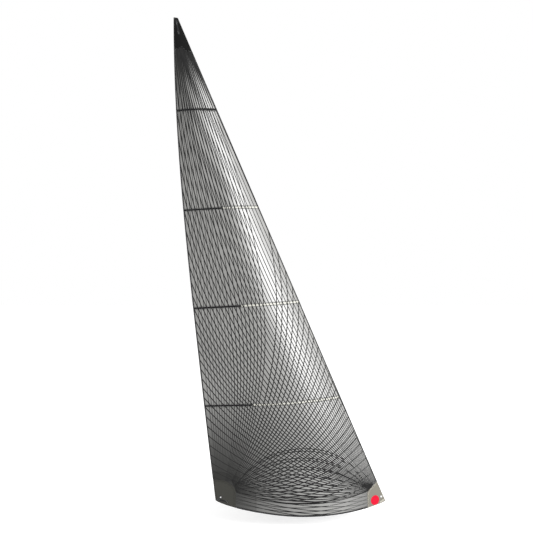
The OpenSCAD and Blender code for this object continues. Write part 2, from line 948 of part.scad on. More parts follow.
module tack_ring() {
    color(ring_grey)
        ring(TACK_RING);
}
module clew_ring() {
    color(ring_grey)
        ring(CLEW_RING);
}
module head_ring_liner() {
    color(liner_grey)
        ring_liner(HEAD_RING);
}
module tack_ring_liner() {
    color(liner_grey)
        ring_liner(TACK_RING);
}
module clew_ring_liner() {
    color(liner_grey)
        ring_liner(CLEW_RING);
}

head_panel();
upper_panel();
middle_panel();
lower_panel();
foot_panel();
seam_tape_1();
seam_tape_2();
seam_tape_3();
seam_tape_4();
draft_stripe_2();
draft_stripe_3();
draft_stripe_4();
batten_pocket_1();
batten_pocket_2();
batten_pocket_3();
batten_pocket_4();
batten_1();
batten_2();
batten_3();
batten_4();
batten_caps_1();
batten_caps_2();
batten_caps_3();
batten_caps_4();
luff_tape();
luff_rope();
leech_tape();
leech_line();
leech_cleat();
leech_cleat_cover();
foot_tape();
foot_line();
foot_cleat();
foot_cleat_cover();
cleat_rivets();
cover_fasteners();
head_patch();
tack_patch();
clew_patch();
clew_reinforcement();
head_webbing();
tack_webbing();
clew_webbing();
tack_emblem();
head_ring();
head_ring_liner();
tack_ring();
tack_ring_liner();
clew_ring();
clew_ring_liner();
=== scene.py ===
"""Looks of the battened headsail, in metres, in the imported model's own frame.

+X is forward, +Y to port (the windward face) and +Z up. The origin is the centre of the tack ring.
A place on the sail is (v, s): v climbs from the tack (0) to the head (1), and s runs aft from the
luff (0) to the leech (1). The outline and the depth of the sail repeat the formulas of the CAD source.
"""

import math

import bpy
import numpy as np
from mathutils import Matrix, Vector


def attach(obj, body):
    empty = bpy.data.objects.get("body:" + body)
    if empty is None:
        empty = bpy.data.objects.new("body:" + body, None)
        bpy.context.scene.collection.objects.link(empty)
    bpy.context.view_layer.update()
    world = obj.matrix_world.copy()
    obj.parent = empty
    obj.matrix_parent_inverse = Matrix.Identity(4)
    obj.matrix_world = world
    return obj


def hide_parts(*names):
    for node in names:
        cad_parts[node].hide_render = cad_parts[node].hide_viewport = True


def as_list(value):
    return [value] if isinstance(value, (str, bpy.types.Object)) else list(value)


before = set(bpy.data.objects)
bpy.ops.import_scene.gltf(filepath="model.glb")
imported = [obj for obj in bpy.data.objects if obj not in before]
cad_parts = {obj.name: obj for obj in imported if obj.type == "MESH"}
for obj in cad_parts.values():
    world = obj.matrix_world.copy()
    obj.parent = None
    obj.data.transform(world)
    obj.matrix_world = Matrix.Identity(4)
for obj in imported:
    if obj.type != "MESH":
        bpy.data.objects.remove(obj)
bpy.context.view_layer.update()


def linked(name, data):
    """A new object, put in the scene."""
    made = bpy.data.objects.new(name, data)
    bpy.context.scene.collection.objects.link(made)
    return made


# ---- Camera ----
LENS_MM = 45
SENSOR_MM = 36
CAMERA_AT = (-2.8585, -16.624, 5.7364)


def make_camera():
    data = bpy.data.cameras.new("camera")
    data.lens, data.sensor_width = LENS_MM, SENSOR_MM
    camera = linked("camera", data)
    camera.location = CAMERA_AT
    camera.rotation_euler = (math.pi / 2, 0, 0)
    bpy.context.scene.camera = camera


make_camera()

# ---- The shape of the cloth, as in the CAD source ----
HOIST, RAKE, LUFF_SAG = 12.07, 5.19, 0.01
CLEW_BACK, CLEW_RISE, HEAD_W, ROACH = 4.19, 0.25, 0.091, 0.1
FOOT_ROUND, SEAM_FALL = 0.31, 0.13
SEAM_V = [z / HOIST for z in (9.77, 7.34, 4.98, 2.6)]
SHEETING, TWIST = 9, 15
CAMBER_ENDS, CAMBER_MID, HEAD_CAMBER = 0.085, 0.125, 0.04
FLAT_HEAD_FROM, ARC_BEGINS, ARC_FULL = 0.83, 0.62, 0.79
POCKET_FROM = [0, 0.48, 0.555, 0.655]


def mix(a, b, t):
    return a + (b - a) * t


def smooth(t):
    t = np.clip(t, 0, 1)
    return t * t * (3 - 2 * t)


def unit(a):
    return a / np.linalg.norm(a, axis=-1, keepdims=True)


def luff_x(v):
    return -RAKE * v - 4 * LUFF_SAG * v * (1 - v)


def leech_x(v):
    return mix(-CLEW_BACK, -RAKE - HEAD_W, v) - 8 * ROACH * v * v * (1 - v)


def fall(v):
    return SEAM_FALL * (1 - (2 * v - 1) ** 4) - CLEW_RISE * (1 - v) ** 8


def chord(v):
    return np.hypot(leech_x(v) - luff_x(v), fall(v))


def leech_y(v):
    return -chord(v) * np.tan(np.radians(SHEETING + TWIST * v))


def camber(v):
    u = np.clip(v, 0, 1)
    body = mix(CAMBER_ENDS, CAMBER_MID, 1 - (2 * u - 1) ** 2)
    return mix(body, HEAD_CAMBER, smooth((v - FLAT_HEAD_FROM) / (1 - FLAT_HEAD_FROM)))


def soft_section(v, s):
    a = 0.65 - 0.3 * v
    entry = 2 * camber(v) / (a * (1 - a / 2) ** 2)
    t = np.minimum(s, a)
    return chord(v) * (entry * (t - t * t / (2 * a)) - entry * a / 2 * s)


def arc_section(v, s):
    c, y = chord(v), leech_y(v)
    length = np.hypot(c, y)
    depth = camber(v) * length
    r = (length * length / 4 + depth * depth) / (2 * depth)
    back = (r - depth) / length
    x = c * s - (c / 2 - y * back)
    return y * s - (y / 2 + c * back - np.sqrt(np.maximum(r * r - x * x, 0)))


def cloth(v, s):
    """The middle of the cloth, from the tack corner."""
    v, s = np.broadcast_arrays(np.asarray(v, float), np.asarray(s, float))
    w = smooth((v - ARC_BEGINS) / (ARC_FULL - ARC_BEGINS))
    depth = mix(soft_section(v, s), arc_section(v, s), w)
    x = mix(luff_x(v), leech_x(v), s)
    return np.stack([x, leech_y(v) * s - depth, HOIST * v - fall(v) * s], -1)


def foot_v(s):
    u = np.clip(s, 0, 1)
    return -FOOT_ROUND / HOIST * (4 * u * (1 - u)) ** 0.75 * (1 + 0.4 * (2 * u - 1))


SEAM_CHORD = [float(chord(v)) for v in SEAM_V]
STEP = 0.0005


def normal(v, s):
    """Square to the cloth, to leeward."""
    aft = cloth(v, s + STEP) - cloth(v, s - STEP)
    up = cloth(v + STEP, s) - cloth(v - STEP, s)
    return unit(np.cross(up, aft))


TACK_V = 0.118 / HOIST
TACK_S = 0.058 / chord(TACK_V)
ORIGIN = cloth(TACK_V, TACK_S)


def place(v, s, off=0.0):
    v, s = np.broadcast_arrays(np.asarray(v, float), np.asarray(s, float))
    return cloth(v, s) - ORIGIN + np.asarray(off)[..., None] * normal(v, s)


def sail_at(x, z):
    """(v, s) of the places with this x and z from the tack corner."""
    v = np.asarray(z, float) / HOIST
    for _ in range(14):
        s = (x - luff_x(v)) / (leech_x(v) - luff_x(v))
        v = (z + s * fall(v)) / HOIST
    return v, s


# Rows along an edge: place, and the directions inward, to leeward and along it.
def luff_rows(v):
    return edge_rows(lambda v: (v, 0), lambda v: (v, 0.0125 / chord(v)), [-1, 0, 0], v)


def leech_rows(v):
    return edge_rows(lambda v: (v, 1), lambda v: (v, 1 - 0.015 / chord(v)), [1, 0, 0], v)


def foot_rows(s):
    return edge_rows(lambda s: (foot_v(s), s), lambda s: (foot_v(s) + 0.015 / HOIST, s), [0, 0, 1], s)


def edge_rows(edge, inside_it, toward, t):
    """Rows for places t along an edge; both functions give (v, s), on the edge and just inside it."""
    along = unit(cloth(*edge(t + STEP)) - cloth(*edge(t - STEP)))
    inward = unit(np.cross(along, normal(*inside_it(t))))
    inward = inward * np.sign((inward * np.array(toward)).sum(-1, keepdims=True))
    lee = np.cross(inward, along)
    lee = lee * -np.sign(lee[:, 1:2])
    return cloth(*edge(t)) - ORIGIN, inward, lee, along


def at_edge(rows, a, b):
    """Points at a inward from the edge and b to leeward, one row of them for each place."""
    p, inward, lee, _ = rows
    a, b = np.asarray(a, float), np.asarray(b, float)
    return p[:, None] + a[..., None] * inward[:, None] + b[..., None] * lee[:, None]


# The sail's corners, as x and z from the tack corner.
CORNER = {
    "tack": np.array([0.0, 0.0]),
    "clew": np.array([-CLEW_BACK, CLEW_RISE]),
    "head": np.array([-RAKE, HOIST]),
}


# ---- Materials ----
class Look:
    """A material as it is made: its node tree, its main shader and the bumps so far."""

    def __init__(self, name):
        self.material = bpy.data.materials.new(name)
        self.material.use_nodes = True
        self.tree = self.material.node_tree
        self.shader = self.tree.nodes["Principled BSDF"]
        self.bumps = {}

    def fill(self, made, values):
        """Sets sockets to numbers, or joins them to other sockets."""
        for key, value in values.items():
            if isinstance(value, bpy.types.NodeSocket):
                self.tree.links.new(value, made.inputs[key])
            else:
                made.inputs[key].default_value = value
        return made

    def node(self, kind, values, **settings):
        made = self.tree.nodes.new("ShaderNode" + kind)
        for key, value in settings.items():
            setattr(made, key, value)
        return self.fill(made, values)

    def set(self, **values):
        """Fills the main shader's sockets."""
        self.fill(self.shader, {key.replace("_", " "): value for key, value in values.items()})

    def math(self, what, a, b=0.0, c=0.0):
        return self.node("Math", {0: a, 1: b, 2: c}, operation=what).outputs[0]

    def times(self, a, b):
        return self.math("MULTIPLY", a, b)

    def scaled(self, a, by, base):
        return self.math("MULTIPLY_ADD", a, by, base)

    def waves(self, along, pitch):
        return self.math("SINE", self.times(along, 2 * math.pi / pitch))

    def noise(self, where, scale, detail=3.0, rough=0.55):
        values = {"Vector": where, "Scale": scale, "Detail": detail, "Roughness": rough}
        return self.node("TexNoise", values).outputs[0]

    def drawn_out(self, where, x, y, z):
        return self.node("Mapping", {0: where, 3: (x, y, z)}).outputs[0]

    def on_object(self):
        return self.node("TexCoord", {}).outputs["Object"]

    def on_cloth(self, turn=0.0):
        """The place in metres on a piece from its UV map, and its two numbers."""
        where = self.node("UVMap", {}, uv_map="metres").outputs[0]
        if turn:
            where = self.node("Mapping", {0: where, 2: (0, 0, math.radians(turn))}).outputs[0]
        split = self.node("SeparateXYZ", {0: where})
        return where, split.outputs[0], split.outputs[1]

    def ramp(self, tone, *stops):
        """Colour from a tone; each stop is a place on it, the colour there and how light that colour is."""
        made = self.node("ValToRGB", {0: tone})
        for mark, (at, colour, k) in zip(made.color_ramp.elements, stops):
            mark.position, mark.color = at, (*(min(1.0, c * k) for c in colour), 1)
        return made.outputs[0]

    def bump(self, height, distance, strength):
        """A bump on top of those made before."""
        values = {"Height": height, "Distance": distance, "Strength": strength, **self.bumps}
        self.bumps = {"Normal": self.node("Bump", values).outputs[0]}
        self.set(**self.bumps)

    def finish(self, tone, colour, low, high, rough, **values):
        """The material, its colour from a tone: low and high are places on it and how light they are."""
        shades = self.ramp(tone, (low[0], colour, low[1]), (high[0], colour, high[1]))
        self.set(Base_Color=shades, Roughness=rough, **values)
        return self.material


def woven(name, colour, pitch=0.0012, rough=0.7, sheen=0.25, spread=0.16, turn=0.0, gloss=0.5):
    """Plain woven cloth: crossed yarns that rise and dip, with uneven colour and a little dirt."""
    look = Look(name)
    where, u, w = look.on_cloth(turn)
    weave = look.times(look.waves(u, pitch), look.waves(w, pitch))
    slubs, cloud = look.noise(where, 90.0, 2.0), look.noise(where, 3.5, 4.0)
    tone = look.times(look.scaled(cloud, 0.8, look.scaled(weave, 0.22, slubs)), 0.55)
    look.bump(weave, pitch * 0.25, 0.7)
    look.bump(look.noise(where, 14.0), 0.0012, 0.6)
    rough = look.scaled(cloud, 0.2, rough - 0.1)
    return look.finish(tone, colour, (0.2, 1 - spread), (0.8, 1 + spread), rough, Sheen_Weight=sheen,
                       Sheen_Roughness=0.5, Specular_IOR_Level=gloss)


def film(name="sail_film", clear=1.0):
    """Clear film over a light scrim: glossy and faintly creased, with painted shade that darkens it and dulls
    its gloss near the corners.
    """
    look = Look(name)
    where, u, w = look.on_cloth()
    cloud = look.noise(where, 0.9, 5.0)
    rows = look.math("MAXIMUM", look.waves(u, SCRIM_PITCH), look.waves(w, SCRIM_PITCH))
    scrim = look.math("GREATER_THAN", rows, 0.985)
    tone = look.scaled(scrim, -0.3, cloud)
    pale = look.ramp(tone, (0.2, FILM_DARK, clear), (0.8, FILM_LIGHT, clear))
    # Painted shade: the colour and the gloss fall off towards each corner.
    unshaded = 1.0
    for corner, over, full, reach, floor in CORNER_SHADES:
        x, z = CORNER[corner]
        centre = (x - ORIGIN[0], SHADES_Y, z + over - ORIGIN[2])
        away = look.node("VectorMath", {0: look.on_object(), 1: centre}, operation="DISTANCE")
        values = {0: away.outputs["Value"], 1: full, 2: reach, 3: floor, 4: 1.0}
        near = look.node("MapRange", values, interpolation_type="SMOOTHSTEP")
        unshaded = look.times(near.outputs[0], unshaded)
    look.set(
        Base_Color=look.node("VectorMath", {0: pale, "Scale": unshaded}, operation="SCALE").outputs[0],
        Specular_IOR_Level=look.times(unshaded, 0.8 * clear),
        Roughness=look.scaled(cloud, 0.1, 0.37),
        IOR=1.8,
    )
    look.bump(scrim, 0.0002, 0.5)
    look.bump(look.noise(look.drawn_out(where, 1.0, 0.35, 1.0), 5.0, 3.0, 0.6), 0.006, 0.3)
    return look.material


# Painted shade near each corner, which darkens the film and dulls its gloss: corner, how far over it the
# shade is centred, the distances fully shaded and clear, how much colour and gloss are left at the middle.
CORNER_SHADES = [
    ("tack", 0.0, 0.35, 1.3, 0.55),
    ("clew", 0.5, 0.3, 2.5, 0.15),
    ("head", 0.0, 0.7, 2.3, 0.04),
]
SHADES_Y = -0.3
SCRIM_PITCH = 0.045
FILM_DARK, FILM_LIGHT = (0.095, 0.094, 0.089), (0.140, 0.139, 0.131)


def yarn(name, colour):
    """A flat bundle of fibres: streaks along it, and a soft gloss."""
    look = Look(name)
    where, _, _ = look.on_cloth()
    fibres = look.noise(look.drawn_out(where, 3.0, 700.0, 1.0), 1.0, 2.0)
    tone = look.times(look.math("ADD", fibres, look.noise(where, 1.3)), 0.5)
    look.bump(fibres, 0.0003, 0.6)
    rough = look.scaled(fibres, 0.2, 0.5)
    return look.finish(tone, colour, (0.35, 0.72), (0.65, 1.3), rough, Specular_IOR_Level=0.08)


def braid(name, colour, pitch, sheen=0.3):
    """Braided line: two sets of strands that cross as they go round."""
    look = Look(name)
    where, u, w = look.on_cloth()
    one, two = (look.waves(look.math(way, u, w), pitch) for way in ("ADD", "SUBTRACT"))
    strands, dirt = look.times(one, two), look.noise(where, 30.0)
    look.bump(strands, 0.0006, 0.9)
    tone, rough = look.scaled(strands, 0.3, dirt), look.scaled(dirt, 0.2, 0.6)
    return look.finish(tone, colour, (0.15, 0.55), (0.75, 1.1), rough, Sheen_Weight=sheen,
                       Specular_IOR_Level=sheen)


def moulded(name, colour, rough):
    """Moulded plastic: a fine spark-eroded grain, and scuffs that change the gloss."""
    look = Look(name)
    where = look.on_object()
    scuffs = look.noise(where, 60.0, 5.0, 0.7)
    look.bump(look.noise(where, 1400.0, 2.0), 0.0002, 0.6)
    return look.finish(scuffs, colour, (0.3, 0.8), (0.75, 1.35), look.scaled(scuffs, 0.25, rough - 0.12))


def metal(name, colour, rough, marks=0.00005):
    """Worn metal: fine scratches of the given depth, and dull patches."""
    look = Look(name)
    where = look.on_object()
    scratches = look.noise(look.drawn_out(where, 900.0, 900.0, 60.0), 1.0, 2.0)
    dull = look.noise(where, 70.0, 4.0)
    look.bump(scratches, marks, 0.4)
    rough = look.scaled(dull, 0.15, look.scaled(scratches, 0.15, rough - 0.1))
    return look.finish(dull, colour, (0.3, 0.75), (0.7, 1.12), rough, Metallic=1.0)


def glass_fibre(name, colour):
    """Pultruded strip: fibres along it under satin resin."""
    look = Look(name)
    where = look.on_object()
    fibres, cloud = look.noise(look.drawn_out(where, 4.0, 900.0, 900.0), 1.0, 2.0), look.noise(where, 9.0)
    tone = look.times(look.math("ADD", fibres, cloud), 0.5)
    look.bump(fibres, 0.0001, 0.5)
    rough = look.scaled(cloud, 0.2, 0.3)
    return look.finish(tone, colour, (0.3, 0.75), (0.7, 1.15), rough, Coat_Weight=0.3)


FILM = film()
CLOTH = {
    "head": woven("black_laminate", (0.004, 0.004, 0.004), 0.0022, 0.5, 0.0, 0.3, 45, 0.04),
    "tack": woven("pale_cloth", (0.13, 0.122, 0.100), 0.0014, 0.75, 0.1, 0.1, 0, 0.25),
    "clew": woven("olive_cloth", (0.025, 0.0245, 0.020), 0.0016, 0.7, 0.1, 0.2, 0, 0.25),
    "sheer": film("scrim_laminate", 0.8),
    "pocket": woven("pocket_cloth", (0.006, 0.006, 0.0065), 0.0011, 0.7, 0.0, 0.3, 0, 0.1),
    "edge": woven("edge_tape", (0.008, 0.008, 0.0085), 0.0009, 0.7, 0.0, 0.35, 0, 0.15),
    "seam": woven("seam_tape", (0.11, 0.11, 0.104), 0.0020, 0.40, 0.0, 0.12, 0, 0.9),
    "stripe": woven("cream_stripe", (0.36, 0.355, 0.315), 0.0020, 0.40, 0.0, 0.05, 0, 0.9),
    "cover": woven("cover_cloth", (0.018, 0.018, 0.02), 0.0012, 0.65, 0.25, 0.3),
    "dark_web": woven("dark_webbing", (0.010, 0.010, 0.011), 0.0024, 0.75, 0.0, 0.35, 45, 0.15),
    "pale_web": woven("pale_webbing", (0.24, 0.225, 0.185), 0.0024, 0.7, 0.3, 0.2, 45),
    "hook": woven("hook_strip", (0.02, 0.02, 0.022), 0.0016, 0.8, 0.1, 0.3),
    "badge": woven("red_sticker", (0.42, 0.001, 0.018), 0.0018, 0.4, 0.0, 0.06, 0, 0.1),
}
YARN = {
    "dark": yarn("load_yarn", (0.011, 0.011, 0.011)),
    "mid": yarn("light_yarn", (0.024, 0.024, 0.023)),
}
THREAD = {
    "grey": braid("grey_thread", (0.2, 0.2, 0.2), 0.001),
    "black": braid("black_thread", (0.006, 0.006, 0.0065), 0.001, 0.05),
    "pale": braid("pale_thread", (0.62, 0.6, 0.54), 0.001),
}
ROPE = braid("luff_rope", (0.62, 0.62, 0.58), 0.0035)
LINE = braid("trim_line", (0.5, 0.5, 0.47), 0.0022)

# ---- Making meshes ----
SAIL = "sail"


def solid(name, points, faces, uv, material, slot, body=SAIL, replaces=()):
    """A piece from its points, its four-sided faces and its places in metres, one for each point."""
    mesh = bpy.data.meshes.new(name)
    faces = np.reshape(faces, (-1, 4))
    mesh.from_pydata(np.reshape(points, (-1, 3)).tolist(), [], faces.tolist())
    layer = mesh.uv_layers.new(name="metres")
    layer.data.foreach_set("uv", np.reshape(uv, (-1, 2))[faces.ravel()].ravel())
    mesh.polygons.foreach_set("use_smooth", np.ones(len(faces), bool))
    mesh.validate()
    mesh.materials.append(material)
    made = linked(name, mesh)
    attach(made, body)
    if replaces:
        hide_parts(*replaces)
    return made


def shell_faces(n, m, ring=False):
    """Faces of a closed sheet of n by m points: two sides and its rims; a ring's last column is its first."""
    k = np.arange(n * m).reshape(n, m)
    edges = [k[0, :], k[:, -1], k[-1, ::-1], k[::-1, 0]]
    if ring:
        k[:, -1] = k[:, 0]
        edges = edges[::2]
    a, b, c, d = k[:-1, :-1], k[1:, :-1], k[1:, 1:], k[:-1, 1:]
    far = n * m
    top = np.stack([a, b, c, d], -1).reshape(-1, 4)
    low = np.stack([a, d, c, b], -1).reshape(-1, 4) + far
    rims = [np.stack([e[:-1], e[1:], e[1:] + far, e[:-1] + far], -1) for e in edges]
    return np.concatenate([top, low, *rims])


def shell(v, s, low, high, ring=False):
    """(points, faces, uv) of a closed sheet on the cloth between two heights to leeward."""
    v, s = np.broadcast_arrays(v, s)
    points = np.concatenate([place(v, s, high).reshape(-1, 3), place(v, s, low).reshape(-1, 3)])
    uv = np.stack([s * chord(v), v * HOIST], -1).reshape(-1, 2)
    return points, shell_faces(*v.shape, ring), np.concatenate([uv, uv])


def joined(parts):
    """Several (points, faces, uv) as one."""
    points = [np.reshape(p, (-1, 3)) for p, _, _ in parts]
    before = np.cumsum([0] + [len(p) for p in points])
    faces = [np.reshape(f, (-1, 4)) + n for (_, f, _), n in zip(parts, before)]
    uv = [np.reshape(w, (-1, 2)) for _, _, w in parts]
    return np.concatenate(points), np.concatenate(faces), np.concatenate(uv)


def lengths(path):
    return np.concatenate([[0], np.cumsum(np.linalg.norm(np.diff(path, axis=0), axis=1))])


def ribbon(path, up, width, low, high):
    """A flat closed ribbon along a path, between two heights along its up directions."""
    path, up = np.asarray(path, float), unit(np.asarray(up, float))
    side = unit(np.cross(up, np.gradient(path, axis=0)))
    w = np.asarray(width) / 2 * np.ones(len(path))
    corners = [(-1, low), (1, low), (1, high), (-1, high)]
    rings = np.stack([path + q * w[:, None] * side + h * up for q, h in corners], 1)
    at = lengths(path)
    uv = np.stack([np.stack([at, at * 0 + q * w + h], -1) for q, h in corners], 1)
    return rings, tube_faces(len(path), 4), uv


def tube_faces(n, k):
    """Faces of a closed tube of n rings of k points, with flat ends of four-sided faces."""
    i, j = np.meshgrid(np.arange(n - 1), np.arange(k), indexing="ij")
    q = (j + 1) % k
    walls = np.stack([i * k + j, i * k + q, (i + 1) * k + q, (i + 1) * k + j], -1).reshape(-1, 4)
    pairs = [(a, a + 1, k - 2 - a, k - 1 - a) for a in range(k // 2 - 1)]
    start = np.array([(d, c, b, a) for a, b, c, d in pairs])
    end = np.array(pairs) + (n - 1) * k
    return np.concatenate([walls, start, end])


def wrapped(rings, path, round_it):
    """(points, faces, uv) of a tube of rings along a path; round_it is the distance round each ring."""
    uv = np.stack(np.broadcast_arrays(lengths(path)[:, None], round_it[None]), -1)
    return rings, tube_faces(*rings.shape[:2]), uv


def swept(rows, profile):
    """A closed profile of (inward, leeward) pairs swept along an edge; an even number of pairs."""
    a, b = np.array(profile).T
    return wrapped(at_edge(rows, a[None], b[None]), rows[0], lengths(np.array(profile)))


def around(centre, axis, turn, r, hint=(0.1, 1, 0.05)):
    """Places at angles round an axis, from a direction square to it and to the hint."""
    u = unit(np.cross(axis, hint))
    return centre + r * (np.cos(turn) * u + np.sin(turn) * np.cross(axis, u))


def tube(path, d, k=12):
    """A round cord along a path."""
    path = np.asarray(path, float)
    along = unit(np.gradient(path, axis=0))
    turn = np.arange(k) * 2 * math.pi / k
    rings = around(path[:, None], along[:, None], turn[None, :, None], d / 2)
    return wrapped(rings, path, turn * d / 2)


def through(points, step):
    """A smooth path through points, with a place every step."""
    p = np.asarray(points, float)
    ends = np.concatenate([[2 * p[0] - p[1]], p, [2 * p[-1] - p[-2]]])
    out = []
    for i in range(len(p) - 1):
        a, b, c, d = ends[i : i + 4]
        n = max(1, round(float(np.linalg.norm(c - b)) / step))
        t = (np.arange(n) / n)[:, None]
        out.append(0.5 * (2 * b + (c - a) * t + (2 * a - 5 * b + 4 * c - d) * t**2
                          + (3 * b - a - 3 * c + d) * t**3))
    return np.concatenate([*out, p[-1:]])


def steps(length, step, least=2):
    return max(least, round(float(length) / step) + 1)


# ---- Stitching ----
THREAD_W, THREAD_T = 0.0012, 0.0005


def resampled(rows, at, where):
    """Rows known at some distances, at other distances."""
    return np.stack([np.interp(where, at, column) for column in rows.T], -1)


def zigzag(path, up, swing, pitch, height, thread=THREAD_W):
    """A raised thread that swings across a path, a stitch to each side for every pitch."""
    at = lengths(path)
    n = steps(at[-1], pitch / 2)
    where = np.linspace(0, at[-1], n)
    line, lift = resampled(path, at, where), unit(resampled(up, at, where))
    side = unit(np.cross(lift, np.gradient(line, axis=0)))
    turn = np.where(np.arange(n) % 2, 1.0, -1.0)[:, None]
    return ribbon(line + side * swing / 2 * turn + lift * height, lift, thread, 0, THREAD_T)


def sewn(name, runs, material, swing, pitch, slot, thread=THREAD_W):
    """One piece of all the zigzag runs, each (path, up directions, height)."""
    parts = [zigzag(path, up, swing, pitch, height, thread) for path, up, height in runs]
    return solid(name, *joined(parts), material, slot)


FACES = (1, -1)


def on_cloth(v, s, face=1):
    """(path, up directions) along places on the cloth, on the leeward (1) or the windward face (-1)."""
    return place(v, s), normal(v, s) * face


# ---- Panels ----
GRID = 0.045
HALF_FILM = 0.0002
PANELS = ["foot_panel", "lower_panel", "middle_panel", "upper_panel", "head_panel"]
LEVELS = [*SEAM_V[::-1], 1.0]


def panel(k):
    """One panel of film, counted from the foot up, with its flat size and its area."""
    top, middle = LEVELS[k], LEVELS[k - 1] if k else float(foot_v(0.5))
    widest = float(np.max(chord(np.linspace(middle, top, 5))))
    s = np.linspace(0, 1, steps(widest, GRID, 12))
    low = middle + 0 * s if k else foot_v(s)
    n = steps((top - low.min()) * HOIST, 0.06)
    v = mix(low[None], top, np.linspace(0, 1, n)[:, None])
    name = PANELS[k]
    made = solid(name + "_film", *shell(v, s[None], -HALF_FILM, HALF_FILM), FILM, "film", replaces=[name])
    grid = place(v, s[None])
    crossed = np.cross(grid[1:, 1:] - grid[:-1, :-1], grid[1:, :-1] - grid[:-1, 1:])
    flat = (float(lengths(grid[n // 2])[-1]), float(lengths(grid[:, len(s) // 2])[-1]))
    return made, flat, float(np.linalg.norm(crossed, axis=-1).sum() / 2)


panels = {name: panel(k) for k, name in enumerate(PANELS)}


# ---- Corner rings: places as (v, s) with the bore's radius ----
RINGS = {
    "head": (1 - 0.078 / HOIST, 0.5, 0.012),
    "tack": (TACK_V, TACK_S, 0.015),
    "clew": (0.104 / HOIST, 1 - 0.130 / float(chord(0.104 / HOIST)), 0.018),
}
WALLS = 0.0040


def punch(piece, ring):
    """Cuts the hole for a corner ring through a panel."""
    v, s, bore = RINGS[ring]
    n, k = normal(v, s), 48
    turn = (np.arange(k) * 2 * math.pi / k)[:, None]
    points = around(place(v, s), n, turn, bore + WALLS, (0, 0, 1))
    mesh = bpy.data.meshes.new("punch_" + ring)
    faces = [(i, (i + 1) % k, (i + 1) % k + k, i + k) for i in range(k)]
    faces += [tuple(range(k))[::-1], tuple(range(k, 2 * k))]
    mesh.from_pydata(np.concatenate([points - 0.03 * n, points + 0.03 * n]).tolist(), [], faces)
    cutter = linked("punch_" + ring, mesh)
    bpy.context.view_layer.update()
    cut = piece.modifiers.new("ring_hole", "BOOLEAN")
    cut.operation, cut.solver, cut.object = "DIFFERENCE", "EXACT", cutter
    with bpy.context.temp_override(object=piece, active_object=piece):
        bpy.ops.object.modifier_apply(modifier=cut.name)
    bpy.data.objects.remove(cutter)


for ring, name in (("head", "head_panel"), ("tack", "foot_panel"), ("clew", "foot_panel")):
    punch(panels[name][0], ring)

# ---- Load yarns: fans between the corners and the edges, laid out from the tack corner ----
HEAD_FAN = np.array([-5.23, 12.0])
YARN_STEP, EACH = 0.01, 5
FULL_WIDTH_FROM = 1.7
EDGE_COVER = 0.012


def toward(angle):
    """A direction, in degrees from straight up, positive forward."""
    a = math.radians(angle)
    return np.array([math.sin(a), math.cos(a)])


def bend(a, b, start, end, reach=0.35, last=None):
    """A curve from a to b that sets out at one angle and comes in at another."""
    size = np.linalg.norm(b - a)
    p1 = a + toward(start) * size * reach
    p2 = b - toward(end) * size * (reach if last is None else last)
    t = np.linspace(0, 1, steps(size, YARN_STEP, 8))[:, None]
    return a * (1 - t) ** 3 + 3 * p1 * t * (1 - t) ** 2 + 3 * p2 * t * t * (1 - t) + b * t**3


def swung(a, b, turn):
    """An arc from a to b that sets out `turn` degrees off the straight line and comes in as much off."""
    straight = math.degrees(math.atan2(*(b - a)))
    reach = 1 / (3 * math.cos(math.radians(turn) / 2) ** 2)
    return bend(a, b, straight - turn, straight + turn, reach)


def inside(path):
    """The stretch of a path that lies on the sail, as (v, s), or None."""
    v, s = sail_at(path[:, 0], path[:, 1])
    c = chord(v)
    on = (s * c > EDGE_COVER) & ((1 - s) * c > EDGE_COVER) & (v < 1 - 0.01 / HOIST)
    on &= (v - foot_v(s)) * HOIST > EDGE_COVER
    runs = np.split(np.flatnonzero(on), np.flatnonzero(np.diff(np.flatnonzero(on)) > 1) + 1)
    best = max(runs, key=len)
    if len(best) < 4 * EACH:
        return None
    kept_rows = np.append(best[:-EACH:EACH], best[-1])
    return v[kept_rows], s[kept_rows]


def yarns(name, paths, width, half, material=YARN["dark"], fades=False):
    """Flat yarns through the film, thinner near the lower corners, and towards their ends if they fade."""
    parts = []
    for path in paths:
        at = inside(np.asarray(path))
        if at is None:
            continue
        line, up = on_cloth(*at)
        lower = [CORNER[c] - ORIGIN[[0, 2]] for c in ("tack", "clew")]
        away = np.min([np.linalg.norm(line[:, [0, 2]] - c, axis=1) for c in lower], axis=0)
        wide = width * np.clip(away / FULL_WIDTH_FROM, 0.25, 1)
        if fades:
            wide = wide * np.linspace(1, 0.1, len(line))
        parts.append(ribbon(line, up, wide, -half, half))
    solid(name, *joined(parts), material, "film")


def leech_point(z):
    """Where the leech is at this height over the tack corner."""
    v = z / HOIST
    for _ in range(8):
        v = (z + fall(v)) / HOIST
    return np.array([float(leech_x(v)), z])


def to_luff(start, angle):
    """Where a line from start, at an angle from straight up, meets the luff."""
    low, high = 0.0, 40.0
    for _ in range(50):
        mid = (low + high) / 2
        x, z = start + toward(angle) * mid
        low, high = (low, mid) if x > luff_x(z / HOIST) else (mid, high)
    return start + toward(angle) * low


def fan(aft, fore, count, last):
    """Evenly spaced curves from one curve to another, or as much of the way as last."""
    at = np.linspace(0, 1, min(len(aft), len(fore)))
    aft, fore = (resampled(p, np.linspace(0, 1, len(p)), at) for p in (aft, fore))
    for t in np.linspace(0, last, count):
        yield mix(aft, fore, t)


TACK_SWING, CLEW_SWING = 19.5, 21.0
TACK_LOW, TACK_TOP, TACK_FORE = np.array([-0.48, 0.25]), np.array([-0.30, 0.44]), np.array([-0.12, 0.42])
CLEW_LOW, CLEW_TOP = np.array([-3.68, 0.44]), np.array([-3.80, 0.71])


def tack_fan_to_leech():
    """From the tack patch aft to the leech, lowest first: close together low down, wider apart above."""
    z, gap = 0.70, 0.115
    while z < 11.9:
        start = mix(TACK_LOW, TACK_TOP, (z / 11.9) ** 0.35)
        yield swung(start, leech_point(z), TACK_SWING)
        gap = min(0.23, gap * 1.15) if z < 4.2 else gap * 1.104
        z += gap


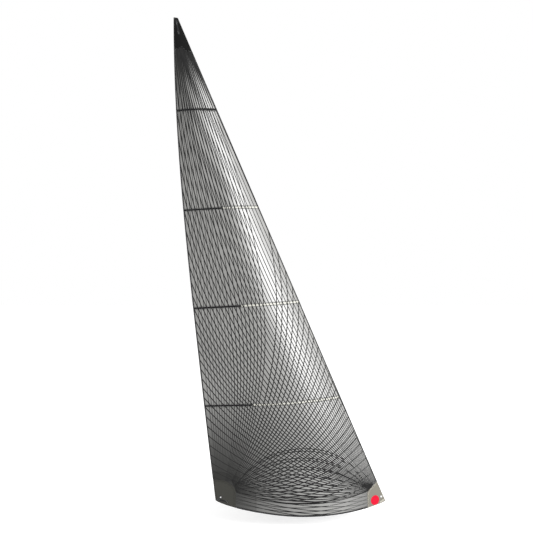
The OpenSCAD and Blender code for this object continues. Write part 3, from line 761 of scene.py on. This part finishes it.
def tack_fan_to_head():
    """From the tack patch up to the head: the furthest aft swings like the last to the leech."""
    for t in np.linspace(0, 1, 15):
        start = mix(TACK_TOP, TACK_FORE, t)
        end = HEAD_FAN + np.array([mix(-0.05, 0.04, t), 0])
        yield swung(start, end, mix(TACK_SWING - 1, 0.6, t))


def clew_fan_to_luff():
    """From the clew patch forward to the luff, lowest first."""
    for t in np.linspace(0, 1, 27):
        start = mix(CLEW_LOW, CLEW_TOP, t)
        yield swung(start, to_luff(start, mix(88.5, 8.0, t)), -CLEW_SWING)


def clew_fan_edges():
    """Three curves from the clew patch to the head: by the leech, between, and furthest forward."""
    by_leech = bend(CLEW_TOP + [-0.34, -0.01], HEAD_FAN + [-0.07, 0], -6, -4, 0.3, 0.4)
    middle = bend(CLEW_TOP + [-0.16, 0.0], HEAD_FAN + [-0.02, 0], 13, -9, 0.3, 0.4)
    forward = bend(CLEW_TOP + [-0.01, 0.0], HEAD_FAN + [0.04, 0], 27.5, -23, 0.33, 0.4)
    return by_leech, middle, forward


def foot_arches():
    """From clew to tack: arches that flatten until they hang like the foot, in two crossing sets."""
    tack, clew = np.array([-0.46, 0.32]), np.array([-3.72, 0.58])
    span = np.linalg.norm(tack - clew)
    for lean in (-1, 1):
        for t in np.linspace(0, 1, 12):
            lower = 0.9 * max(0.0, t - 0.5)
            rise = 1.0 - 2.55 * t + 0.95 * t * t + lower + 0.03 * lean
            skew = 0.10 * lean * min(1.0, 2 * t)
            start, end = clew + [0, skew - lower], tack + [0, -skew - lower]
            yield swung(start, end, 2 * math.degrees(math.atan(2 * rise / span)))


def head_fan():
    """Short yarns down from the head patch, of uneven length."""
    count = 15
    for i in range(count):
        t = (i + 0.5) / count
        length = 1.55 + 0.55 * math.sin(i * 2.4) + 0.25 * math.sin(i * 5.1)
        start = HEAD_FAN + [mix(-0.05, 0.05, t), 0]
        angle = 180 - mix(0.5, 22.6, t)
        yield bend(start, start + toward(angle) * length, angle, angle)


yarns("yarns_tack_to_leech", tack_fan_to_leech(), 0.023, 0.00055)
yarns("yarns_tack_to_head", tack_fan_to_head(), 0.022, 0.00060)
yarns("yarns_clew_to_luff", clew_fan_to_luff(), 0.023, 0.00065)
yarns("yarns_clew_to_head", fan(*clew_fan_edges()[1:], 10, 1.0), 0.018, 0.00070)
yarns("yarns_along_foot", foot_arches(), 0.018, 0.00075)
yarns("yarns_fine_aft", fan(*clew_fan_edges()[:2], 10, 0.9), 0.014, 0.00050, YARN["mid"])
yarns("yarns_head", head_fan(), 0.022, 0.00040, fades=True)

# ---- Seam tapes and draft stripes ----
SEAM_W, STRIPE_W, SEAM_SEWN_AT = 0.084, 0.042, 0.036
SEAM_LOW, SEAM_HIGH, STRIPE_HIGH = 0.00022, 0.00034, 0.00042


def band(k, width, s0, s1, low, high):
    """A strip along a seam, from s0 to s1."""
    s = np.linspace(s0, s1, steps(SEAM_CHORD[k] * (s1 - s0), GRID))
    across = np.linspace(-width / 2, width / 2, 5)[:, None] / HOIST
    return shell(SEAM_V[k] + across, s[None], low, high)


def seam_tape(k):
    margin = 0.006 / SEAM_CHORD[k]
    heights = (SEAM_LOW, SEAM_HIGH), (-SEAM_HIGH, -SEAM_LOW)
    faces = [band(k, SEAM_W, margin, 1 - margin, low, high) for low, high in heights]
    name = f"seam_tape_{k + 1}"
    return solid(name + "_glued", *joined(faces), CLOTH["seam"], "seam_tape", replaces=[name])


def seam_stitches(k):
    s = np.linspace(0.006, 0.994, steps(SEAM_CHORD[k], 0.05))
    rows = [SEAM_V[k] + across / HOIST + 0 * s for across in (-SEAM_SEWN_AT, SEAM_SEWN_AT)]
    runs = [(*on_cloth(v, s, face), SEAM_HIGH) for v in rows for face in FACES]
    return sewn(f"seam_stitches_{k + 1}", runs, THREAD["black"], 0.007, 0.012, "seam_tape")


def draft_stripe(k):
    margin = 0.01 / SEAM_CHORD[k]
    strip = band(k, STRIPE_W, margin, POCKET_FROM[k] + margin, SEAM_HIGH, STRIPE_HIGH)
    name = f"draft_stripe_{k + 1}"
    return solid(name + "_film", *strip, CLOTH["stripe"], "draft_stripe", replaces=[name])


seam_pieces = {k: [seam_tape(k), seam_stitches(k)] for k in range(4)}
stripe_pieces = {k: draft_stripe(k) for k in (1, 2, 3)}

# ---- Batten pockets: stitched sleeves, open at the leech ----
NOSE = 0.018
POCKET_FOOT = 0.0006
POCKET_SEWN_AT = 0.0202
SLEEVE_FROM = [s or 0.025 / c for s, c in zip(POCKET_FROM, SEAM_CHORD)]
# Half sections of a sleeve's two skins, across the pocket and out from the cloth, in millimetres.
OUTER = [
    (21.0, 0.6), (20.8, 1.5), (19.4, 1.8), (18.6, 2.6), (18.3, 7.5), (17.8, 10.6), (16.2, 12.3),
    (12.0, 12.8), (6.0, 12.9),
]
INNER = [
    (5.0, 2.0), (15.8, 2.2), (17.1, 3.2), (17.1, 6.5), (16.9, 9.9), (15.5, 11.1), (10.0, 11.6),
    (3.0, 11.7),
]


def mirrored(half):
    """A half section and its other half, in metres."""
    return np.array(half + [(-a, h) for a, h in half[::-1]]) / 1000


def pocket(k):
    """A sleeve: its outer skin and its hollow, rounded off in front and joined round the mouth."""
    start, c = SLEEVE_FROM[k], SEAM_CHORD[k]
    nose = start + np.linspace(0, NOSE, 7)[:-1] / c
    s = np.concatenate([nose, np.linspace(start + NOSE / c, 1, steps(c * (1 - start), 0.03))])
    run = ((s - start) * c)[:, None]
    swell = 0.12 + 0.88 * np.sqrt(1 - (1 - np.clip(run / NOSE, 0, 1)) ** 2)
    ripple = 1 + 0.018 * np.sin(run * 2 * math.pi / 0.11) * np.sin(run * 2 * math.pi / 0.29 + k)
    skins, uv = [], []
    for half, hollow in ((OUTER, False), (INNER, True)):
        section = mirrored(half)
        across, high = section.T[:, None]
        lift = high * swell - POCKET_FOOT * (1 - swell) if hollow else high * swell * ripple
        lift = np.maximum(lift, POCKET_FOOT + 0.0001 * hollow)
        skins.append(place(SEAM_V[k] + across / HOIST, s[:, None], lift).reshape(-1, 3))
        both = np.broadcast_arrays((s * c)[:, None], lengths(section)[None])
        uv.append(np.stack(both, -1).reshape(-1, 2))
    n, m, q = len(s), 2 * len(OUTER), 2 * len(INNER)
    outer = tube_faces(n, m)[: 1 - m // 2]
    inner = tube_faces(n, q)[: 1 - q // 2, ::-1] + n * m
    out_a = (n - 1) * m + np.arange(m)
    in_a = n * m + (n - 1) * q + np.round(np.linspace(0, q - 1, m)).astype(int)
    mouth = np.stack([np.roll(out_a, -1), out_a, in_a, np.roll(in_a, -1)], -1)
    name = f"batten_pocket_{k + 1}"
    return solid(name + "_sleeve", np.concatenate(skins), np.concatenate([outer, inner, mouth]),
                 np.concatenate(uv), CLOTH["pocket"], "pocket_cloth", replaces=[name])


def pocket_stitches(k):
    start, c = SLEEVE_FROM[k], SEAM_CHORD[k]
    s = np.linspace(start + 0.003 / c, 1 - 0.004 / c, steps(c * (1 - start), 0.04))
    rows = [SEAM_V[k] + across / HOIST + 0 * s for across in (-POCKET_SEWN_AT, POCKET_SEWN_AT)]
    runs = [(*on_cloth(v, s), 0.0016) for v in rows]
    return sewn(f"pocket_stitches_{k + 1}", runs, THREAD["grey"], 0.0012, 0.006, "pocket_cloth")


pocket_pieces = {k: [pocket(k), pocket_stitches(k)] for k in range(4)}

# ---- Edge tapes, folded round the luff rope and the trim lines ----
LUFF_TAPE_W, EDGE_TAPE_W = 0.022, 0.026
ROPE_D, LINE_D = 0.006, 0.003
EDGE_GAP, SKIN_IN, SKIN_OUT, SKIN_LIFT = 0.0004, 0.0010, 0.0015, 0.0006
# Where the trim lines leave their tapes, as v on the leech and s on the foot.
LEECH_EXIT, FOOT_EXIT = 0.056, 0.12


def fold(width, d):
    """A tape's section: down one face, round the cord and back up the other, as a closed outline."""
    outline = []
    for thick, open_end, way in ((SKIN_OUT, SKIN_OUT, 1), (SKIN_IN, SKIN_LIFT, -1)):
        r = d / 2 + SKIN_LIFT + thick - SKIN_IN
        centre = -EDGE_GAP - d / 2 - SKIN_LIFT
        start = math.asin(thick / r)
        turn = np.linspace(start, 2 * math.pi - start, 14)
        side = [(centre + r * math.cos(a), r * math.sin(a)) for a in turn]
        outline += [(width, open_end), *side, (width, -open_end)][::way]
    return outline


def flat_fold(width):
    """The section of a tape with no cord in it."""
    near, far = -EDGE_GAP, -EDGE_GAP - 0.0005
    return [
        (width, SKIN_OUT), (far, SKIN_OUT), (far, -SKIN_OUT), (width, -SKIN_OUT),
        (width, -SKIN_LIFT), (near, -SKIN_IN), (near, SKIN_IN), (width, SKIN_LIFT),
    ]


def middle_of(rows, inward):
    """Places in the middle of the cloth, a distance in from an edge."""
    return at_edge(rows, np.array([[inward]]), np.array([[0.0]]))[:, 0]


def edge_runs(rows, inward, height):
    """Stitch rows along an edge tape, on both faces."""
    return [(middle_of(rows, inward), rows[2] * face, height) for face in FACES]


def spread(a, b, size, step=0.06):
    return np.linspace(a, b, steps(size, step))


# Each edge tape's rows: from, to and the length in metres.
luff_edge = luff_rows(spread(0, 1, 13.1))
upper_leech = leech_rows(spread(LEECH_EXIT, 1, 11.4))
lower_leech = leech_rows(spread(0, LEECH_EXIT - 0.003, 0.64))
foot_edge = foot_rows(spread(FOOT_EXIT, 0.885, 3.3, 0.04))
# Each tape's stretches with their sections, and how far in its stitches are.
EDGES = {
    "luff": ([(luff_edge, fold(LUFF_TAPE_W, ROPE_D))], 0.014),
    "leech": ([(upper_leech, fold(EDGE_TAPE_W, LINE_D)), (lower_leech, flat_fold(EDGE_TAPE_W))], 0.017),
    "foot": ([(foot_edge, fold(EDGE_TAPE_W, LINE_D))], 0.017),
}


def edge_tape(edge):
    stretches, inward = EDGES[edge]
    runs = [run for rows, _ in stretches for run in edge_runs(rows, inward, SKIN_OUT)]
    sewn(edge + "_stitches", runs, THREAD["grey"], 0.004, 0.010, "edge_tape")
    return solid(edge + "_tape_folded", *joined([swept(*part) for part in stretches]), CLOTH["edge"],
                 slot="edge_tape", replaces=[edge + "_tape"])


tapes = {edge: edge_tape(edge) for edge in EDGES}


# ---- Luff rope and trim lines: the object holds them all the way ----
def tunnel(rows, d):
    return middle_of(rows, -EDGE_GAP - d / 2 - SKIN_LIFT)


# From the mouth of the tunnel to the cleat: on, inward and to windward, in millimetres.
CLEAT_RUN = [
    (12, -3.2, 0.4), (24, -4.5, 3.5), (40, -3, 8), (65, 8, 11), (95, 24, 11.4),
    (125, 38, 11.4), (150, 44, 11.4), (175, 45, 11.4), (255, 45, 11.4), (276, 45, 11.4),
]


def run_to_cleat(rows_at):
    """Points from the tunnel through the cleat to the tail; rows_at gives the edge's rows at distances on."""
    rows = rows_at(np.array([on / 1000 for on, _, _ in CLEAT_RUN]))
    a = np.array([[inward / 1000] for _, inward, _ in CLEAT_RUN])
    b = np.array([[-windward / 1000] for _, _, windward in CLEAT_RUN])
    return at_edge(rows, a, b)[:, 0]


def stopper(path, d):
    """A small knot near the tail: three turns round the line."""
    at, along = path[-8], unit(path[-6] - path[-10])
    t = np.linspace(0, 1, 60)[:, None]
    middle = at + along * mix(-0.0035, 0.0035, t)
    return tube(around(middle, along, t * 3 * 2 * math.pi, d * 0.92), d * 0.85, 10)


def trim_line(name, rows, rows_at):
    path = tunnel(rows, LINE_D)[::-1]
    knee = through(np.concatenate([path[-3:], run_to_cleat(rows_at)]), 0.004)
    path = np.concatenate([path[:-3], knee])
    parts = [tube(path, LINE_D), stopper(path, LINE_D)]
    solid(name + "_braided", *joined(parts), LINE, "trim_line", replaces=[name])


foot_chord = float(chord(0.0))
solid("luff_rope_braided", *tube(tunnel(luff_edge, ROPE_D), ROPE_D), ROPE, "rope", replaces=["luff_rope"])
trim_line("leech_line", upper_leech, lambda on: leech_rows(LEECH_EXIT - on / HOIST))
trim_line("foot_line", foot_edge, lambda on: foot_rows(FOOT_EXIT - on / foot_chord))

# ---- Corner patches ----
PATCH, SHEER = (0.0030, 0.0040), (0.00022, 0.00038)
OUTLINE = {
    "head": [(-151, 60), (120, 60), (520, -860), (220, -860), (120, -760), (-40, -860)],
    "tack": [(60, -320), (-200, -300), (-478, -82), (-478, 265), (-437, 320), (-200, 492), (60, 492)],
    "clew": [
        (-90, 495), (150, 490), (260, 455), (389, 368), (460, 290), (487, 200), (487, -182),
        (200, -420), (-90, -420),
    ],
    "sheer": [
        (-90, 700), (180, 690), (520, 560), (820, 380), (960, 220), (985, 60), (985, -284),
        (600, -420), (-90, -420),
    ],
}


def dotted(points, n):
    """n places along each side of a polyline, and its end."""
    sides = [np.linspace(p, q, n, endpoint=False) for p, q in zip(points[:-1], points[1:])]
    return np.concatenate([*sides, points[-1:]])


def rim(corner, outline, n=50):
    """Round a patch's outline, kept on the sail, with n places to a side: v, s and how far from the ring."""
    points = np.array(OUTLINE[outline]) / 1000 + CORNER[corner]
    path = dotted(np.concatenate([points, points[:1]]), n)[:-1]
    v, s = sail_at(path[:, 0], path[:, 1])
    s = np.clip(s, 0, 1)
    v = np.clip(v, foot_v(s), 1)
    v0, s0, _ = RINGS[corner]
    return v, s, np.hypot((s - s0) * float(chord(v0)), (v - v0) * HOIST)


def patch(corner, outline, low, high):
    """(points, faces, uv) of one ply on one face, from its ring's hole out to its rim."""
    v0, s0, bore = RINGS[corner]
    v1, s1, far = rim(corner, outline)
    t = np.concatenate([np.linspace(0, 1, 26)[:-1] ** 1.6, [0.985, 0.996, 1.0]])
    t = np.unique(t)[:, None]
    out = mix((bore + WALLS) / far, 1, t)
    v, s = v0 + (v1 - v0) * out, s0 + (s1 - s0) * out
    v, s = (np.concatenate([q, q[:, :1]], 1) for q in (v, s))
    thick = np.append(np.ones(len(t) - 1), 0.25)[:, None] * np.ones(v.shape[1])
    return shell(v, s, low, low + (high - low) * thick, ring=True)


def border_runs(corner, outline, insets, height):
    """Stitch rows that follow a patch's rim at distances in from it, on both faces."""
    v0, s0, _ = RINGS[corner]
    v1, s1, far = (np.append(q, q[0]) for q in rim(corner, outline, 60))
    rows = [(mix(v1, v0, inset / far), mix(s1, s0, inset / far)) for inset in insets]
    return [(*on_cloth(v, s, face), height) for v, s in rows for face in FACES]


# Outline: corner, CAD piece, slot, heights, insets of the stitch rows, thread, swing, pitch, thread's width.
PATCHES = {
    "head": ("head", "head_patch", "head_patch", PATCH, (0.012,), "grey", 0.004, 0.009, THREAD_W),
    "tack": ("tack", "tack_patch", "tack_patch", PATCH, (0.012, 0.024), "pale", 0.004, 0.009, THREAD_W),
    "clew": ("clew", "clew_patch", "clew_patch", PATCH, (0.019, 0.050), "black", 0.010, 0.009, 0.0025),
    "sheer": ("clew", "clew_reinforcement", "reinforcement", SHEER, (0.014,), "black", 0.005, 0.010,
              THREAD_W),
}


def corner_patch(outline):
    """A patch on both faces, and the stitching round it."""
    corner, name, short, (low, high), insets, thread, swing, pitch, width = PATCHES[outline]
    slot = short + "_cloth"
    plies = [patch(corner, outline, low, high), patch(corner, outline, -low, -high)]
    runs = border_runs(corner, outline, insets, high)
    sewn(short + "_stitches", runs, THREAD[thread], swing, pitch, slot, width)
    return solid(name + "_sewn", *joined(plies), CLOTH[outline], slot, replaces=[name])


patches = {outline: corner_patch(outline) for outline in PATCHES}

# ---- Webbing over the rings ----
WEB_LOW, WEB_HIGH = 0.0044, 0.0064
# Start and end from the corner and width, in millimetres, then cloth, slot and thread.
WEBS = {
    "tack": ((-28, 41), (-149, -7), 37, "pale_web", "pale_webbing", "pale"),
    "clew": ((24.5, 29), (304.5, -41), 35.5, "dark_web", "dark_webbing", "grey"),
    "head": ((-25, -110), (41, -430), 38, "dark_web", "dark_webbing", "grey"),
}
# How full the strap is across its width, and how far in from its ends the stitching starts.
WEB_CROWN = np.array([0.45, 0.9, 1, 1, 1, 1, 1, 0.9, 0.45])
WEB_MARGIN = 0.006


def strap_at(web, k, q):
    """(v, s) k of the way along a strap and q of its width off its middle."""
    start, end, width = WEBS[web][:3]
    a, b = (np.array(p) / 1000 + CORNER[web] for p in (start, end))
    side = unit(b - a)[::-1] * [-1, 1] * width / 1000
    return sail_at(mix(a[0], b[0], k) + side[0] * q, mix(a[1], b[1], k) + side[1] * q)


def webbing(web):
    """A strap on both faces and its stitching: a crossed box at each end."""
    start, end, _, cloth_name, slot, thread = WEBS[web]
    length, m = math.dist(start, end) / 1000, len(WEB_CROWN)
    n = steps(length, 0.006)
    v, s = strap_at(web, np.linspace(0, 1, n)[:, None], np.linspace(-0.5, 0.5, m)[None])
    crown = WEB_CROWN * (1 - 0.05 * (np.arange(m) % 2)) * np.ones((n, 1))
    crown[[0, -1]] *= 0.6
    parts = [shell(v, s, face * WEB_LOW, face * mix(WEB_LOW, WEB_HIGH, crown)) for face in FACES]
    solid(web + "_webbing_strap", *joined(parts), CLOTH[cloth_name], slot, replaces=[web + "_webbing"])
    box, h, runs = min(0.07, length * 0.35), 0.36, []
    for near in (WEB_MARGIN, length - WEB_MARGIN - box):
        k0, k1 = near / length, (near + box) / length
        for line in [(k0, -h), (k0, h), (k1, h), (k1, -h), (k0, -h), (k1, h)], [(k0, h), (k1, -h)]:
            at = strap_at(web, *dotted(np.array(line), 12).T)
            runs += [(*on_cloth(*at, face), WEB_HIGH) for face in FACES]
    sewn(web + "_webbing_stitches", runs, THREAD[thread], 0.0012, 0.006, slot)


for web in WEBS:
    webbing(web)


# ---- The plain round badge ----
def badge():
    """A round disc just proud of the tack patch, thinner at its edge."""
    centre, r = CORNER["tack"] + np.array([-0.278, 0.066]), 0.112
    t = np.concatenate([[0.02], np.linspace(0.1, 0.98, 10), [1.0]])[:, None] * r
    turn = np.linspace(0, 2 * math.pi, 97)[None]
    v, s = sail_at(centre[0] - t * np.cos(turn), centre[1] + t * np.sin(turn))
    low, high = PATCH[1] + 0.0002, PATCH[1] + 0.0006
    height = np.full(v.shape, high)
    height[-1] = low + 0.0001
    points, faces, uv = shell(v, s, low, height, ring=True)
    k = v.shape[1] - 1
    slices = [(len(points), i, i + 1, (i + 2) % k) for i in range(0, k, 2)]
    points = np.concatenate([points, place(*sail_at(*centre), high)[None]])
    return solid("tack_emblem_disc", points, np.concatenate([faces, slices]), np.concatenate([uv, uv[:1]]),
                 CLOTH["badge"], "badge", replaces=["tack_emblem"])


badge_piece = badge()

# ---- Cleat covers: stiff flaps that ride on their hinges ----
CLEAT_AT, CLEAT_IN = 0.215, 0.045
HINGE_Y, COVER_W, COVER_LEN, COVER_H, COVER_T, STRIP_LOW = -50, 84, 110, 24, 1.4, 5.4


def cleat_frame(rows):
    """A cleat's axes and place: X along the line to its tail, Z out of the windward face."""
    x, z = -rows[3][0], -rows[2][0]
    return x, np.cross(z, x), z, middle_of(rows, CLEAT_IN)[0]


COVER_END, GRIP = HINGE_Y + COVER_W, STRIP_LOW + 2.2
# A cover's section along its lower skin, from its hinge to its free edge, (y, z) in millimetres.
COVER_LINE = np.array([
    (HINGE_Y, 5.5), (HINGE_Y + 16, COVER_H), (COVER_END - 26, COVER_H), (COVER_END - 12, GRIP),
    (COVER_END, GRIP),
], float)


def rounded(corners, r, n=6):
    """A polyline with each inner corner turned into a curve."""
    out = [corners[0]]
    for a, b, c in zip(corners[:-2], corners[1:-1], corners[2:]):
        p, q = b + unit(a - b) * r, b + unit(c - b) * r
        t = np.linspace(0, 1, n)[:, None]
        out += list(p * (1 - t) ** 2 + 2 * b * t * (1 - t) + q * t * t)
    out.append(corners[-1])
    return np.array(out)


def cover(name, rows, body):
    """A stiff flap over a cleat, its stitching, and its flat size over the hump."""
    *axes, p = cleat_frame(rows)
    line = through(rounded(COVER_LINE, 5.0), 2.5)
    run = lengths(line)
    at = run / run[-1]
    slope = unit(np.gradient(line, axis=0))
    out = np.stack([-slope[:, 1], slope[:, 0]], -1)
    u = np.linspace(-1, 1, 25)[:, None]
    across = u * COVER_LEN / 2 * (1 - 0.10 * smooth((at - 0.86) / 0.14) ** 2)
    dip = -0.9 * np.sin(at * math.pi) ** 2 * (u**4 - 0.3)
    skins = []
    for lift in (COVER_T * (0.5 + 0.5 * smooth(at / 0.06)), 0.0):
        yz = line + out * (lift + dip)[..., None]
        skins.append(p + np.concatenate([across[..., None], yz], -1) / 1000 @ np.stack(axes))
    points = np.concatenate([skin.reshape(-1, 3) for skin in skins])
    uv = np.stack(np.broadcast_arrays(u * COVER_LEN / 2, run), -1).reshape(-1, 2) / 1000
    made = solid(name + "_flap", points, shell_faces(*across.shape), np.concatenate([uv, uv]),
                 CLOTH["cover"], "cover_cloth", body, replaces=[name])
    top, parts = skins[0], []
    sides = [(top[2:-2, -3], out[-3]), (top[2:-2, 2], out[2]), (top[2, 2:-2], out[2:-2]),
             (top[-3, 2:-2], out[2:-2])]
    for path, lift in sides:
        up = np.broadcast_to(lift, (len(path), 2)) @ np.stack(axes[1:])
        parts.append(zigzag(path, up, 0.0006, 0.006, 0.0))
    thread = solid(name + "_stitches", *joined(parts), THREAD["grey"], "cover_cloth", body)
    return made, thread, float(run[-1]) / 1000


covers = [
    cover("leech_cleat_cover", leech_rows(np.array([LEECH_EXIT - CLEAT_AT / HOIST])), "leech_cover"),
    cover("foot_cleat_cover", foot_rows(np.array([FOOT_EXIT - CLEAT_AT / foot_chord])), "foot_cover"),
]


# ---- The pieces kept from the CAD: rings, liners, cleats, rivets, strips and battens ----
def kept(name, material, bevel=None):
    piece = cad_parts[name]
    piece.data.materials.clear()
    piece.data.materials.append(material)
    for polygon in piece.data.polygons:
        polygon.use_smooth = True
    if bevel:
        soften = piece.modifiers.new("worn_edges", "BEVEL")
        soften.width, soften.segments, soften.limit_method = bevel, 3, "ANGLE"
        soften.angle_limit = math.radians(35)
        soften.harden_normals = True


RING_METAL = metal("anodised_ring", (0.42, 0.42, 0.43), 0.34)
DARK_METAL = metal("dark_anodised_ring", (0.05, 0.05, 0.052), 0.36)
LINER_METAL = metal("turned_liner", (0.66, 0.66, 0.67), 0.2, 0.0001)
RIVET_METAL = metal("rivet_metal", (0.6, 0.6, 0.62), 0.3)
CLEAT_PLASTIC = moulded("cleat_plastic", (0.018, 0.018, 0.02), 0.45)
CAP_PLASTIC = moulded("cap_plastic", (0.016, 0.016, 0.017), 0.5)
BATTEN = glass_fibre("batten_glass_fibre", (0.56, 0.53, 0.36))

for corner in RINGS:
    pale = corner == "tack"
    kept(corner + "_ring", RING_METAL if pale else DARK_METAL, 0.0005)
    kept(corner + "_ring_liner", LINER_METAL if pale else DARK_METAL, 0.0005)
kept("leech_cleat", CLEAT_PLASTIC, 0.0006)
kept("foot_cleat", CLEAT_PLASTIC, 0.0006)
kept("cleat_rivets", RIVET_METAL, 0.0003)
kept("cover_fasteners", CLOTH["hook"], 0.0004)
for k in range(4):
    kept(f"batten_{k + 1}", BATTEN, 0.0005 if k else None)
    kept(f"batten_caps_{k + 1}", CAP_PLASTIC, 0.0008 if k else None)


# ---- The pieces sewn on each panel ----
sewn_on = {
    "foot_panel": [patches["tack"], patches["clew"], patches["sheer"], badge_piece, tapes["foot"]]
}
for k, name in enumerate(PANELS[:0:-1]):
    sewn_on[name] = [*seam_pieces[k], *pocket_pieces[k], stripe_pieces[k] if k else patches["head"]]
for name, (piece, (width, length), area) in panels.items():
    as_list(sewn_on[name])


# ---- Stage ----
def key_lamp():
    """A tall soft light ahead of the sail and to leeward of it, which gives the bright band by the luff."""
    data = bpy.data.lights.new("key", "AREA")
    data.shape, data.energy = "RECTANGLE", 4700
    data.size, data.size_y = 5.8, 20.0
    made = linked("key", data)
    made.location = Vector((10.3, -7.8, 12.4))
    aim = Vector((-2.5, -0.4, 7.4))
    made.rotation_euler = (aim - made.location).to_track_quat("-Z", "Y").to_euler()


def stage():
    """A pale floor and a white surround."""
    r, z = 90.0, -0.55
    mesh = bpy.data.meshes.new("floor")
    mesh.from_pydata([(-r, -r, z), (r, -r, z), (r, r, z), (-r, r, z)], [], [(0, 1, 2, 3)])
    look = Look("pale_floor")
    look.set(Roughness=0.9, Base_Color=(0.9, 0.9, 0.9, 1), Emission_Color=(1, 1, 1, 1),
             Emission_Strength=0.25)
    mesh.materials.append(look.material)
    linked("floor", mesh)
    world = bpy.data.worlds.new("studio")
    world.use_nodes = True
    background = world.node_tree.nodes["Background"]
    background.inputs[0].default_value = (1, 1, 1, 1)
    background.inputs[1].default_value = 1.0
    bpy.context.scene.world = world
    bpy.context.scene.view_settings.view_transform = "Standard"


stage()
key_lamp()
